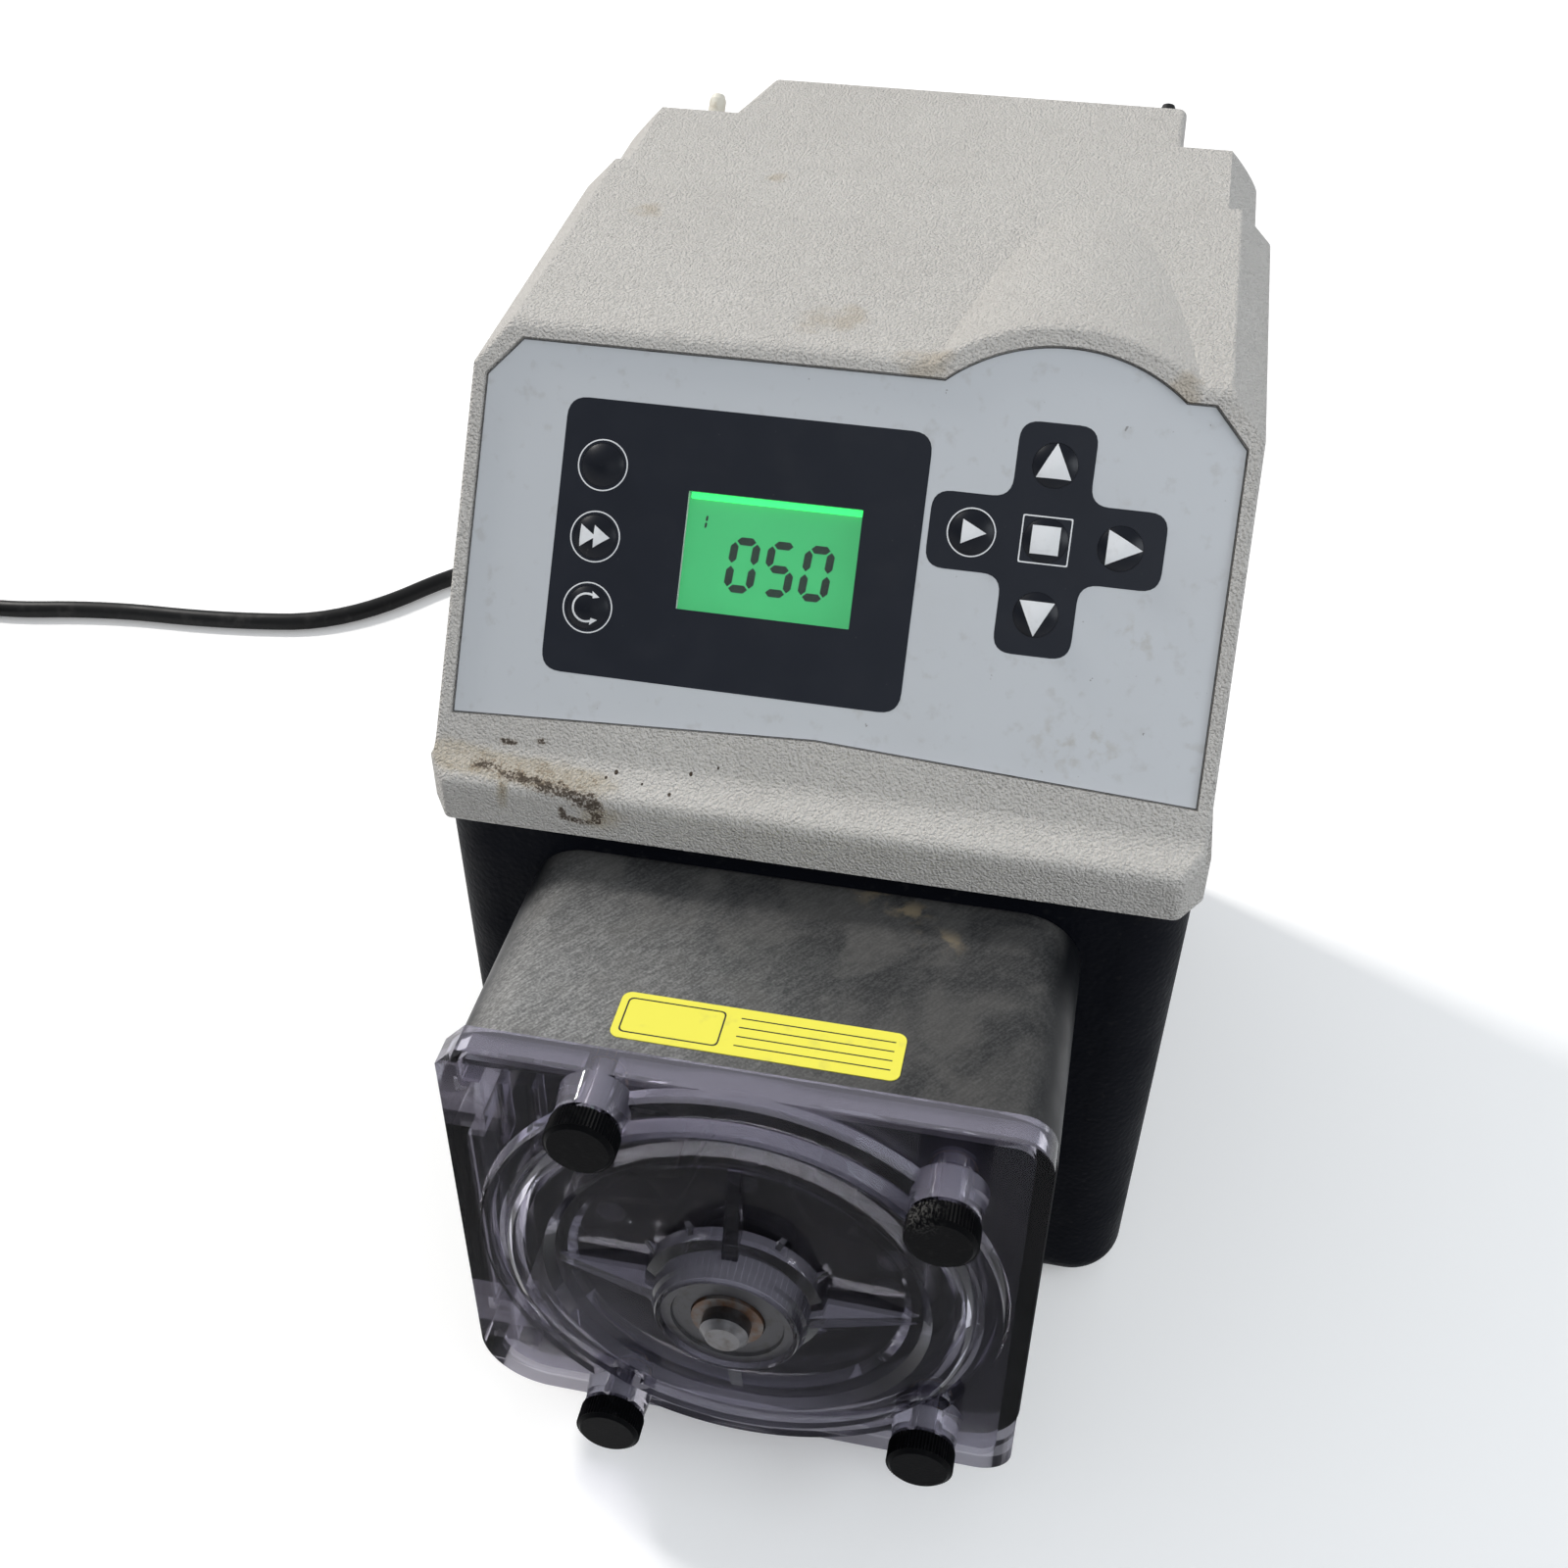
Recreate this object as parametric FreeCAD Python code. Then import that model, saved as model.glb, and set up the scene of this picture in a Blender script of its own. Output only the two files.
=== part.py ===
import FreeCAD, Part
import math
import os

# Peristaltic metering pump, in millimetres. X is to the right, Y goes back, Z is up.
# The origin is on the floor, under the middle of the pump's own width and depth.

# Main places
HOUSING_Y = -82.2          # front wall of the lower housing
HOUSING_DEPTH = 213.2
SEAM_Z = 164.5             # joint between the two housings
AXIS_Z = 88.9              # height of the drive shaft
FLOOR_GAP = 3.4            # the feet lift the housing by this much

# Pump head
HEAD_HALF_W = 76.0
HEAD_HALF_H = 68.0
HEAD_CORNER = 17.0
HEAD_DEPTH = 69.6
HEAD_Y = HOUSING_Y - HEAD_DEPTH
RACE_R = 56.0
RACE_DEPTH = 46.0
CHANNEL_X = HEAD_HALF_W - 12.0    # how far the tube's way reaches to the left
PORT_OFFSET = 45.6         # tube ports above and below the shaft
PORT_R = 9.5
PORT_BACK = 19.0           # port axis behind the head's front face
HEAD_FLOOR = 8.0
HEAD_SKIN = 8.0
HEAD_BOLT = 31.0
HEAD_BOLT_R = 2.5
BOLT_HEAD_R = 4.3
BOLT_HEAD_H = 4.0
BOLT_KEY_R = 2.3
AXLE_BOSS_R = 20.0
BOLT_BOSS_R = 7.0
SEAL_R = 12.7
LABEL = (-35.2, 36.3, 13.2, 15.4)  # left, right, back from the cover's face, how deep
LABEL_T = 0.25

# Clear cover
COVER_HALF_W = HEAD_HALF_W - 0.7
COVER_HALF_H = HEAD_HALF_H + 1.5
COVER_RIM = 8.2
FACE_Y = HEAD_Y - COVER_RIM       # front face of the cover's flange
COVER_WALL = 3.2
PAN_R = 62.5
PAN_TOP_R = 60.0
PAN_RISE = 6.0
STEP_R = 70.0
STEP_RISE = 3.0
DISH_R = 49.5
DISH_SINK = 2.2
HUB_BASE_R = 24.0
HUB_R = 20.2
HUB_RIM_R = 18.8
HUB_RISE = 16.0
FIN_REACH = 47.0
FIN_THICK = 4.4             # at the hub, and a little less at the far end
FIN_END_THICK = 3.0
GUSSET_THICK = 1.6
SCREW_BOSS_R = 8.6
SCREW_BOSS_FLARE = 1.0
INNER_BOSS_R = 6.0
SCREW_BOSS_RISE = 9.0
PORT_WALLS = (3.3, 13.8, 22.8)    # how far in from the cover's left edge
PORT_WALL_T = 1.6
LEFT_SCREW = (40.8 - COVER_HALF_W, COVER_HALF_H - 9.2)      # across, and up or down from the shaft
RIGHT_SCREW = (COVER_HALF_W - 23.7, COVER_HALF_H - 21.2)

# Thumb screws
KNOB_R = 9.0
KNOB_LEN = 7.2
KNOB_RIDGES = 60
GRIP_DEPTH = 0.35
STUD_R = 2.5
STUD_REACH = 10.0
INSERT_R = 3.7
INSERT_LEN = 12.0

# Shaft, bearings and rotor
SHAFT_R = 6.35
SHAFT_NOSE_R = 4.5
SHAFT_TIP = 20.0           # how far the shaft stands in front of the cover's flange
RUN_GAP = 0.04             # radial running clearance
PART_GAP = 0.3             # clearance between pieces that pass each other
BEARING_R = 17.4
BEARING_W = 10.0
INNER_RACE_R = 9.4
ROTOR_BACK = 7.0           # room behind the rotor
ROTOR_PLATE = 4.0
ROLLER_LEN = 26.0
SQUEEZE_R = 13.0
SQUEEZE_CENTRE = 38.0
GUIDE_R = 8.0
GUIDE_FLANGE_R = 12.0
GUIDE_CENTRE = 33.0
AXLE_R = 4.0
ROTOR_HUB_R = 12.5
PIN_R = 1.6
PIN_SPACING = 16.0

# Housings
HALF_W = 103.0             # half width of the upper housing, which the other widths follow
WALL = 4.0
LOWER_TOP_HALF = HALF_W - 0.2
LOWER_BASE_HALF = HALF_W - 2.5
LOWER_CORNER = 16.0
BASE_ROUND = 11.0
REAR_Y = HOUSING_Y + HOUSING_DEPTH
GASKET = 1.2
LIP_HALF = HALF_W + 1.4
LIP_PROUD = 3.0
LIP_H = 13.5
LIP_CHAMFER = 7.0
LIP_ROUND = 4.5
FOOT_ROUND = 9.0
LIP_CORNER_ROUND = 3.0
RIM_ROUND = 1.2
TOP_ROUND = 1.5
BROW_ROUND = 5.0
HOOD_ROUND = 2.5
BUMP_ROUND = 2.0
LEDGE_BACK = 10.8
LEDGE_RISE = 3.4
RIDGE_Y = REAR_Y - 42.0
RIDGE_STEP = 4.6
RIDGE_DROP = 1.0
UPPER_RISE = 118.2
RIDGE_Z = SEAM_Z + UPPER_RISE
TOP_PITCH = 3.8            # degrees
TOP_CHAMFER = 11.2
REAR_CORNER = 8.0
HOOD_LEFT = 36.5 - HALF_W
HOOD_LEAN = 13.5           # degrees, of its left side
HOOD_RIGHT = HALF_W - 28.0
HOOD_Y = REAR_Y + 31.0
HOOD_EDGE = 2.0
HOOD_FOOT_Z = SEAM_Z + 31.5
PILLAR_INSET = 17.0
PILLAR_R = 7.0
SCREW_GRIP = 24.0
SCREW_R = 2.0
FOOT_R = 10.0
FOOT_X = HALF_W - 41.0
FOOT_SINK = 1.6

# Control panel, in its own frame: u to the right, v up the slope, n out of the face
PANEL_TILT = 34.33         # degrees from upright
PANEL_FOOT_Y = HOUSING_Y + 12.8
PANEL_FOOT_Z = SEAM_Z + 24.16
RIM_PROUD = 1.2
OVERLAY = 0.5
OVERLAY_HALF = HALF_W - 4.0
OVERLAY_TOP = 100.4
OVERLAY_PEAK = 4.7
OVERLAY_CHAMFER = 9.0
RIM_W = 5.4
BUMP_ROOT = 3.0            # the bump's root lies this far under the overlay's top edge
BUMP_RUN = 96.0
BUMP_FALL = 3.6
DPAD_U = HALF_W - 50.6
DPAD_V = 62.9
DPAD_PITCH = 18.9
DPAD_ARC = 48.3
LEFT_KEYS_U = 38.1 - HALF_W
LEFT_KEYS_V = 50.85
LEFT_KEYS_PITCH = 18.8
KEY_R = 5.7
KEY_DOME = 1.7
KEY_TRAVEL = 0.6
KEY_GAP = 0.2
WINDOW = (-41.0, 5.2, 34.6, 65.5)
WINDOW_T = 1.0
LENS_LAP = 2.0             # the lens reaches this far under the film all round
GLASS_LAP = 1.2            # the lit glass reaches this far behind the window's edge
MODULE_LAP = 4.0
MODULE_GAP = 0.9
GLASS_T = 1.0
BOARD_DEPTH = 13.0
BOARD_T = 1.6
BOARD_HALF = OVERLAY_HALF - 13.0
BOARD_FOOT = 10.0
BOARD_HEAD = 92.0
BOARD_POST = 6.0           # posts stand this far inside the board's corners
SWITCH = (6.0, 2.5, 1.7, 1.2)     # side, height, cap radius, cap height

# Gear motor
BRACKET = 3.0
BRACKET_HALF_W = 62.0
BRACKET_TOP = 6.0          # the plate stands this far over the gear case
CASE_HALF_W = 50.0
CASE_TOP = 42.0
CASE_BOTTOM = 74.0
CASE_DEPTH = 40.0
CASE_WALL = 3.5
MOTOR_R = 35.0
MOTOR_LEN = 92.0
CAP_LEN = 11.0
CAP_SLOT_RING = 20.0
SUPPLY_GAP = 16.0          # between the motor and the supply board
SUPPLY_LIFT = 8.0
STAGE_ONE_MODULE = 1.0
STAGE_ONE_TEETH = (12, 48)
STAGE_TWO_MODULE = 1.5
STAGE_TWO_TEETH = (14, 42)
TRAIN_ANGLE = -60.0
PRESSURE_ANGLE = 20.0
ADDENDUM = 0.85            # in modules
DEDENDUM = 1.2
ROOT_RELIEF = 0.12
BACKLASH = 0.2
OUTPUT_BEARING_R = 14.3
OUTPUT_BEARING_W = 7.0

# Cord
CORD_R = 4.0
GLAND_X = 43.0 - HALF_W
GLAND_Z = 46.0
GLAND_R = 10.5
RELIEF_LEN = 30.0
COIL_X = -500.0
COIL_Y = 146.0
COIL_MEAN_R = 46.0
COIL_HALF_W = 8.0
COIL_BOTTOM = 0.2
COIL_TOP = 16.4
TIE_T = 0.9
TIE_W = 9.0
PLUG_Z = 11.6
PLUG_NECK = 34.0
PLUG_BODY = 27.0
PLUG_HALF_W = 13.0
PLUG_HALF_T = 11.4
BLADE = (1.5, 6.3, 17.0)
BLADE_SPACING = 12.7
EARTH_PIN_R = 2.4

# Signal connectors
PLUG_R = 5.4
LEFT_PLUG_X = 27.7 - HALF_W
RIGHT_PLUG_X = HALF_W - 34.0
CAP_LENGTHS = (20.5, 15.2)
PLUG_DROP = 20.0

BASE_Z = FLOOR_GAP
LOWER_TOP_Z = SEAM_Z - GASKET
RACE_FLOOR_Y = HEAD_Y + RACE_DEPTH
STAGE_ONE_CENTRES = STAGE_ONE_MODULE * sum(STAGE_ONE_TEETH) / 2
STAGE_TWO_CENTRES = STAGE_TWO_MODULE * sum(STAGE_TWO_TEETH) / 2


# Helpers for outlines and simple solids

def point(plane, a, b, level):
    """A point of a flat outline: a and b lie in the plane, level is along its normal."""
    if plane == "xy":
        return FreeCAD.Vector(a, b, level)
    if plane == "xz":
        return FreeCAD.Vector(a, level, b)
    return FreeCAD.Vector(level, a, b)


def outline(corners, plane, level):
    """A closed wire through corners (a, b, radius), each rounded by its radius."""
    starts = []
    middles = []
    ends = []
    for i, (a, b, radius) in enumerate(corners):
        here = FreeCAD.Vector(a, b, 0)
        before = FreeCAD.Vector(corners[i - 1][0], corners[i - 1][1], 0)
        after_corner = corners[(i + 1) % len(corners)]
        after = FreeCAD.Vector(after_corner[0], after_corner[1], 0)
        back = (before - here).normalize()
        ahead = (after - here).normalize()
        if radius <= 0:
            starts.append(here)
            middles.append(None)
            ends.append(here)
            continue
        half = back.getAngle(ahead) / 2
        reach = radius / math.tan(half)
        inward = (back + ahead).normalize()
        centre = here + inward * (radius / math.sin(half))
        starts.append(here + back * reach)
        middles.append(centre - inward * radius)
        ends.append(here + ahead * reach)
    edges = []
    for i in range(len(corners)):
        start = point(plane, starts[i].x, starts[i].y, level)
        end = point(plane, ends[i].x, ends[i].y, level)
        if middles[i] is not None:
            middle = point(plane, middles[i].x, middles[i].y, level)
            edges.append(Part.Arc(start, middle, end).toShape())
        following = starts[(i + 1) % len(corners)]
        target = point(plane, following.x, following.y, level)
        if end.distanceToPoint(target) > 1e-6:
            edges.append(Part.LineSegment(end, target).toShape())
    return Part.Wire(edges)


def prism(corners, plane, start, end):
    """A rounded outline carried along its plane's normal from start to end."""
    face = Part.Face(outline(corners, plane, start))
    return face.extrude(point(plane, 0, 0, end - start))


def rectangle(a0, a1, b0, b1, radius=0.0):
    return [(a0, b0, radius), (a1, b0, radius), (a1, b1, radius), (a0, b1, radius)]


def box(x0, x1, y0, y1, z0, z1):
    return Part.makeBox(x1 - x0, y1 - y0, z1 - z0, FreeCAD.Vector(x0, y0, z0))


def rod_y(x, z, radius, y0, y1):
    """A round bar along Y."""
    return Part.makeCylinder(radius, y1 - y0, FreeCAD.Vector(x, y0, z), FreeCAD.Vector(0, 1, 0))


def rod_z(x, y, radius, z0, z1):
    """A round bar along Z."""
    return Part.makeCylinder(radius, z1 - z0, FreeCAD.Vector(x, y, z0))


def turned_y(profile, x, z):
    """A closed profile of (radius, y) corners turned about an axis along Y."""
    points = [FreeCAD.Vector(x + radius, y, z) for radius, y in profile]
    face = Part.Face(Part.makePolygon(points + [points[0]]))
    return face.revolve(FreeCAD.Vector(x, 0, z), FreeCAD.Vector(0, 1, 0), 360)


def turned_z(profile, x, y):
    """A closed profile of (radius, z) corners turned about an upright axis."""
    points = [FreeCAD.Vector(x + radius, y, z) for radius, z in profile]
    face = Part.Face(Part.makePolygon(points + [points[0]]))
    return face.revolve(FreeCAD.Vector(x, y, 0), FreeCAD.Vector(0, 0, 1), 360)


def hexagon(a, b, radius, turn=0):
    """Corners of a hexagon round (a, b), for a nut or a key socket."""
    angles = [math.radians(60 * k + turn) for k in range(6)]
    return [(a + radius * math.cos(angle), b + radius * math.sin(angle), 0) for angle in angles]


def joined(shapes):
    """One solid from shapes that overlap."""
    first = shapes[0]
    if len(shapes) > 1:
        first = first.multiFuse(shapes[1:]).removeSplitter()
    return first


def on_panel(shape):
    """Moves a shape from the panel's frame to the pump's frame."""
    turn = FreeCAD.Rotation(FreeCAD.Vector(1, 0, 0), 90 - PANEL_TILT)
    place = FreeCAD.Placement(FreeCAD.Vector(0, PANEL_FOOT_Y, PANEL_FOOT_Z), turn)
    moved = shape.copy()
    moved.Placement = place.multiply(moved.Placement)
    return moved


def shifted(corners, distance):
    """A polygon of (a, b) corners, given anticlockwise, with every side moved inward."""
    count = len(corners)
    lines = []
    for i in range(count):
        a = FreeCAD.Vector(corners[i][0], corners[i][1], 0)
        b = FreeCAD.Vector(corners[(i + 1) % count][0], corners[(i + 1) % count][1], 0)
        along = (b - a).normalize()
        inward = FreeCAD.Vector(-along.y, along.x, 0)
        lines.append((a + inward * distance, along))
    moved = []
    for i in range(count):
        p, d = lines[i - 1]
        q, e = lines[i]
        gap = q - p
        share = (gap.x * e.y - gap.y * e.x) / (d.x * e.y - d.y * e.x)
        corner = p + d * share
        moved.append((corner.x, corner.y))
    return moved


# Places that several pieces share

def pillar_places():
    x = LOWER_BASE_HALF - PILLAR_INSET
    return [(side * x, y) for side in (-1, 1)
            for y in (HOUSING_Y + PILLAR_INSET, REAR_Y - PILLAR_INSET)]


def foot_places():
    inset = 2.2 * FOOT_R
    return [(side * FOOT_X, y) for side in (-1, 1)
            for y in (HOUSING_Y + inset, REAR_Y - inset)]


def cover_screw_places():
    places = []
    for x, reach in (LEFT_SCREW, RIGHT_SCREW):
        places.append((x, AXIS_Z + reach))
        places.append((x, AXIS_Z - reach))
    return places


def head_bolt_places():
    return [(a * HEAD_BOLT, AXIS_Z + b * HEAD_BOLT) for a in (-1, 1) for b in (-1, 1)]


def middle_gear_place():
    turn = math.radians(TRAIN_ANGLE)
    return (STAGE_TWO_CENTRES * math.cos(turn), AXIS_Z + STAGE_TWO_CENTRES * math.sin(turn))


def motor_place():
    x, z = middle_gear_place()
    return (x - STAGE_ONE_CENTRES, z)


def key_places():
    """The eight keys' centres on the panel, by name."""
    places = {}
    for name, step in (("menu_button", 1), ("fast_button", 0), ("reset_button", -1)):
        places[name] = (LEFT_KEYS_U, LEFT_KEYS_V + step * LEFT_KEYS_PITCH)
    for name, du, dv in (("up_button", 0, 1), ("down_button", 0, -1), ("start_button", -1, 0),
                         ("right_button", 1, 0), ("stop_button", 0, 0)):
        places[name] = (DPAD_U + du * DPAD_PITCH, DPAD_V + dv * DPAD_PITCH)
    return places


# Lower housing

def lower_block(inset, bottom, top):
    """The lower housing's form, with every wall moved in by inset."""
    front = HOUSING_Y + inset
    rear = REAR_Y - inset
    corner = LOWER_CORNER - inset

    def ring(half, z):
        return outline(rectangle(-half + inset, half - inset, front, rear, corner), "xy", z)

    return Part.makeLoft([ring(LOWER_BASE_HALF, bottom), ring(LOWER_TOP_HALF, top)], True, True)


def lower_housing():
    outer = lower_block(0, BASE_Z, LOWER_TOP_Z)
    low_edges = [edge for edge in outer.Edges if edge.BoundBox.ZMax < BASE_Z + 0.01]
    outer = outer.makeFillet(BASE_ROUND, low_edges)
    inner = lower_block(WALL, BASE_Z + WALL, LOWER_TOP_Z + 1)
    pillars = [rod_z(x, y, PILLAR_R, BASE_Z, LOWER_TOP_Z) for x, y in pillar_places()]
    ribs = []
    for x, y in pillar_places():
        side = math.copysign(1, x)
        reach = PILLAR_INSET + 2
        ribs.append(box(min(x, x + side * reach), max(x, x + side * reach), y - 1.5, y + 1.5,
                        BASE_Z + WALL, LOWER_TOP_Z))
    shell = outer.cut(inner).fuse([piece.common(outer) for piece in pillars + ribs])
    cuts = []
    screw_seat = SEAM_Z - SCREW_GRIP
    for x, y in pillar_places():
        cuts.append(rod_z(x, y, 4.4, BASE_Z - 1, screw_seat))
        cuts.append(rod_z(x, y, SCREW_R + 0.2, BASE_Z - 1, LOWER_TOP_Z + 1))
    for x, y in foot_places():
        cuts.append(rod_z(x, y, FOOT_R + 0.2, BASE_Z - 1, BASE_Z + FOOT_SINK))
    cuts.append(rod_y(0, AXIS_Z, OUTPUT_BEARING_R + 4, HOUSING_Y - 1, HOUSING_Y + WALL + 1))
    for x, z in head_bolt_places():
        cuts.append(rod_y(x, z, HEAD_BOLT_R + 0.2, HOUSING_Y - 1, HOUSING_Y + WALL + 1))
    cuts.append(rod_y(GLAND_X, GLAND_Z, GLAND_R - 2.3, REAR_Y - WALL - 1, REAR_Y + 1))
    return shell.cut(cuts).removeSplitter()


def housing_gasket():
    def ring(inset):
        half = LOWER_TOP_HALF - inset
        return outline(rectangle(-half, half, HOUSING_Y + inset, REAR_Y - inset,
                                 LOWER_CORNER - inset), "xy", LOWER_TOP_Z)

    edge = 0.5
    outside = Part.Face(ring(edge)).extrude(FreeCAD.Vector(0, 0, GASKET))
    inside = Part.Face(ring(WALL - edge)).extrude(FreeCAD.Vector(0, 0, GASKET))
    return outside.cut(inside)


def housing_screws():
    screws = []
    seat = SEAM_Z - SCREW_GRIP
    for x, y in pillar_places():
        head = rod_z(x, y, 3.8, seat - 3, seat)
        shank = rod_z(x, y, SCREW_R, seat - 0.5, SEAM_Z + 14)
        socket = prism(hexagon(x, y, SCREW_R), "xy", seat - 4, seat - 1)
        screws.append(head.fuse(shank).cut(socket))
    return Part.makeCompound(screws)


def rubber_feet():
    profile = [(0, 0), (FOOT_R - 1.2, 0), (FOOT_R, 1.2), (FOOT_R, BASE_Z + FOOT_SINK),
               (0, BASE_Z + FOOT_SINK)]
    return Part.makeCompound([turned_z(profile, x, y) for x, y in foot_places()])


# Upper housing

def upper_profile():
    """Side view of the upper housing as (y, z) corners, anticlockwise seen from +X."""
    slope_y = math.sin(math.radians(PANEL_TILT))
    slope_z = math.cos(math.radians(PANEL_TILT))
    out_y = -slope_z
    out_z = slope_y
    lip_y = HOUSING_Y - LIP_PROUD
    foot = (lip_y + LEDGE_BACK, SEAM_Z + LIP_H + LEDGE_RISE)
    face_y = PANEL_FOOT_Y + RIM_PROUD * out_y
    face_z = PANEL_FOOT_Z + RIM_PROUD * out_z
    pitch = math.tan(math.radians(TOP_PITCH))
    # The panel line meets the ledge below and the sloping top above.
    low = (foot[1] - face_z) / slope_z
    foot = (face_y + low * slope_y, foot[1])
    high = (RIDGE_Z - face_z - (RIDGE_Y - face_y) * pitch) / (slope_z - slope_y * pitch)
    brow = (face_y + high * slope_y, face_z + high * slope_z)
    rear = (REAR_Y, RIDGE_Z + (REAR_Y - RIDGE_Y) * pitch)
    return [(lip_y, SEAM_Z), (REAR_Y, SEAM_Z), rear, brow, foot, (lip_y, SEAM_Z + LIP_H)]


def top_height(y):
    """Height of the sloping top at a depth y."""
    return RIDGE_Z + (y - RIDGE_Y) * math.tan(math.radians(TOP_PITCH))


def side_trim(half, y0, y1, inset):
    """Wedges that cut the top chamfer along both long edges, out to a half width."""
    start = half - TOP_CHAMFER - math.tan(math.radians(22.5)) * inset
    end = start + 40
    top = top_height(y0) - inset
    low = top + start - end
    way = FreeCAD.Vector(0, y1 - y0, top_height(y1) - top_height(y0))
    wedges = []
    for side in (-1, 1):
        corners = [FreeCAD.Vector(side * x, y0, z) for x, z in ((start, top), (end, top), (end, low))]
        section = Part.Face(Part.makePolygon(corners + corners[:1]))
        wedges.append(section.extrude(way))
    return wedges


def upper_form(inset):
    """The upper housing's closed form, with its walls moved in by inset."""
    profile = upper_profile()
    if inset > 0:
        moved = shifted(profile, inset)
        front = HOUSING_Y + WALL
        brow = moved[3]
        rear = moved[2]
        foot = moved[4]
        slope = (brow[1] - foot[1]) / (brow[0] - foot[0])
        low_z = foot[1] + (front - foot[0]) * slope
        start = SEAM_Z - 1
        profile = [(front, start), (rear[0], start), rear, brow, (front, low_z)]
    half = HALF_W - inset
    rounds = [0, 0, 0, BROW_ROUND, FOOT_ROUND, LIP_ROUND] if inset == 0 else [0, 0, 0, BROW_ROUND, 0]
    corners = [(y, z, radius) for (y, z), radius in zip(profile, rounds)]
    body = prism(corners, "yz", -half, half)
    if inset == 0:
        front = HOUSING_Y - LIP_PROUD
        section = [(front, SEAM_Z, 0), (REAR_Y, SEAM_Z, 0), (REAR_Y, SEAM_Z + LIP_H, 0),
                   (front, SEAM_Z + LIP_H, LIP_ROUND)]
        body = body.fuse(prism(section, "yz", -LIP_HALF, LIP_HALF))
    # The rear part is narrower and a little lower than the front part.
    rear_half = half - RIDGE_STEP
    for side in (-1, 1):
        x0, x1 = sorted((side * rear_half, side * (LIP_HALF + 1)))
        low = SEAM_Z + LIP_H if inset == 0 else SEAM_Z - 2
        body = body.cut(box(x0, x1, RIDGE_Y, REAR_Y + 1, low, RIDGE_Z + 60))
    shave = prism([(RIDGE_Y - inset, top_height(RIDGE_Y) - RIDGE_DROP - inset, 0),
                   (REAR_Y + 1, top_height(REAR_Y + 1) - RIDGE_DROP - inset, 0),
                   (REAR_Y + 1, RIDGE_Z + 60, 0), (RIDGE_Y - inset, RIDGE_Z + 60, 0)],
                  "yz", -LIP_HALF, LIP_HALF)
    body = body.cut(shave)
    trims = side_trim(LIP_HALF, HOUSING_Y - 20, RIDGE_Y, inset)
    trims += side_trim(LIP_HALF - RIDGE_STEP, RIDGE_Y, REAR_Y + 20, inset)
    body = body.cut(trims)
    return body.fuse([hood_form(inset), bump_form(inset)]).removeSplitter()


def hood_form(inset):
    """The rear hood between the shoulders, with its walls moved in by inset."""
    y0 = REAR_Y - 14
    y1 = HOOD_Y - inset
    pitch = math.tan(math.radians(TOP_PITCH))
    top0 = top_height(y0) - RIDGE_DROP - inset
    top1 = top_height(y1) - RIDGE_DROP - inset
    depth = y1 - REAR_Y
    side = [(y0, HOOD_FOOT_Z + inset, 0), (REAR_Y, HOOD_FOOT_Z + inset, 0),
            (y1, HOOD_FOOT_Z + inset + depth, 0), (y1, top1 - HOOD_EDGE, 0),
            (y1 - HOOD_EDGE, top1 - HOOD_EDGE * pitch, 0), (y0, top0, 0)]
    lean = math.tan(math.radians(HOOD_LEAN))
    left = [HOOD_LEFT + inset + (y - REAR_Y) * lean for y in (y0, y1)]
    block = prism(side, "yz", left[0], HOOD_RIGHT - inset)
    plan = [(left[0], y0, 0), (HOOD_RIGHT - inset, y0, 0), (HOOD_RIGHT - inset, y1, 0), (left[1], y1, 0)]
    hood = block.common(prism(plan, "xy", HOOD_FOOT_Z - 5, RIDGE_Z + 60))
    if inset > 0:
        return hood
    return hood.makeFillet(HOOD_ROUND, edges_where(hood, lambda b: b.YMax > REAR_Y + 1))


def bump_form(inset):
    """The rounded bump behind the arrow keys: a disc on the panel carried straight back."""
    radius = DPAD_ARC + RIM_W - inset
    level = RIM_PROUD - inset
    chord = OVERLAY_TOP - BUMP_ROOT
    reach = math.sqrt(radius ** 2 - (chord - DPAD_V) ** 2)
    left = FreeCAD.Vector(DPAD_U - reach, chord, level)
    right = FreeCAD.Vector(DPAD_U + reach, chord, level)
    crest = FreeCAD.Vector(DPAD_U, DPAD_V + radius, level)
    edges = [Part.Arc(left, crest, right).toShape(), Part.LineSegment(right, left).toShape()]
    face = on_panel(Part.Face(Part.Wire(edges)))
    bump = face.extrude(FreeCAD.Vector(0, BUMP_RUN - inset, -BUMP_FALL))
    if inset > 0:
        return bump
    # The front edge is the only round one that ends in front of the key pad's depth.
    front = [edge for edge in bump.Edges if isinstance(edge.Curve, Part.Circle)
             and edge.BoundBox.YMax < BUMP_RUN / 2]
    return bump.makeFillet(BUMP_ROUND, front)


def overlay_outline(offset, level):
    """The overlay's edge on the panel, grown by offset, with its arc over the arrow keys."""
    half = OVERLAY_HALF + offset
    top = OVERLAY_TOP + offset
    arc = DPAD_ARC + offset
    reach = math.sqrt(arc * arc - (top - DPAD_V) ** 2)
    chamfer = OVERLAY_CHAMFER + 0.4 * offset

    def at(u, v):
        return FreeCAD.Vector(u, v, level)

    corners = [at(DPAD_U - reach, top), at(-half + chamfer, top), at(-half, top - chamfer - 1),
               at(-half, -offset), at(0, OVERLAY_PEAK - offset), at(half, -offset),
               at(half, top - chamfer - 1), at(half - chamfer, top), at(DPAD_U + reach, top)]
    edges = [Part.LineSegment(corners[i], corners[i + 1]).toShape() for i in range(len(corners) - 1)]
    edges.append(Part.Arc(corners[-1], at(DPAD_U, DPAD_V + arc), corners[0]).toShape())
    return Part.Wire(edges)


def edges_where(shape, chosen):
    """The edges whose bounding boxes pass a test."""
    return [edge for edge in shape.Edges if chosen(edge.BoundBox)]


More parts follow.
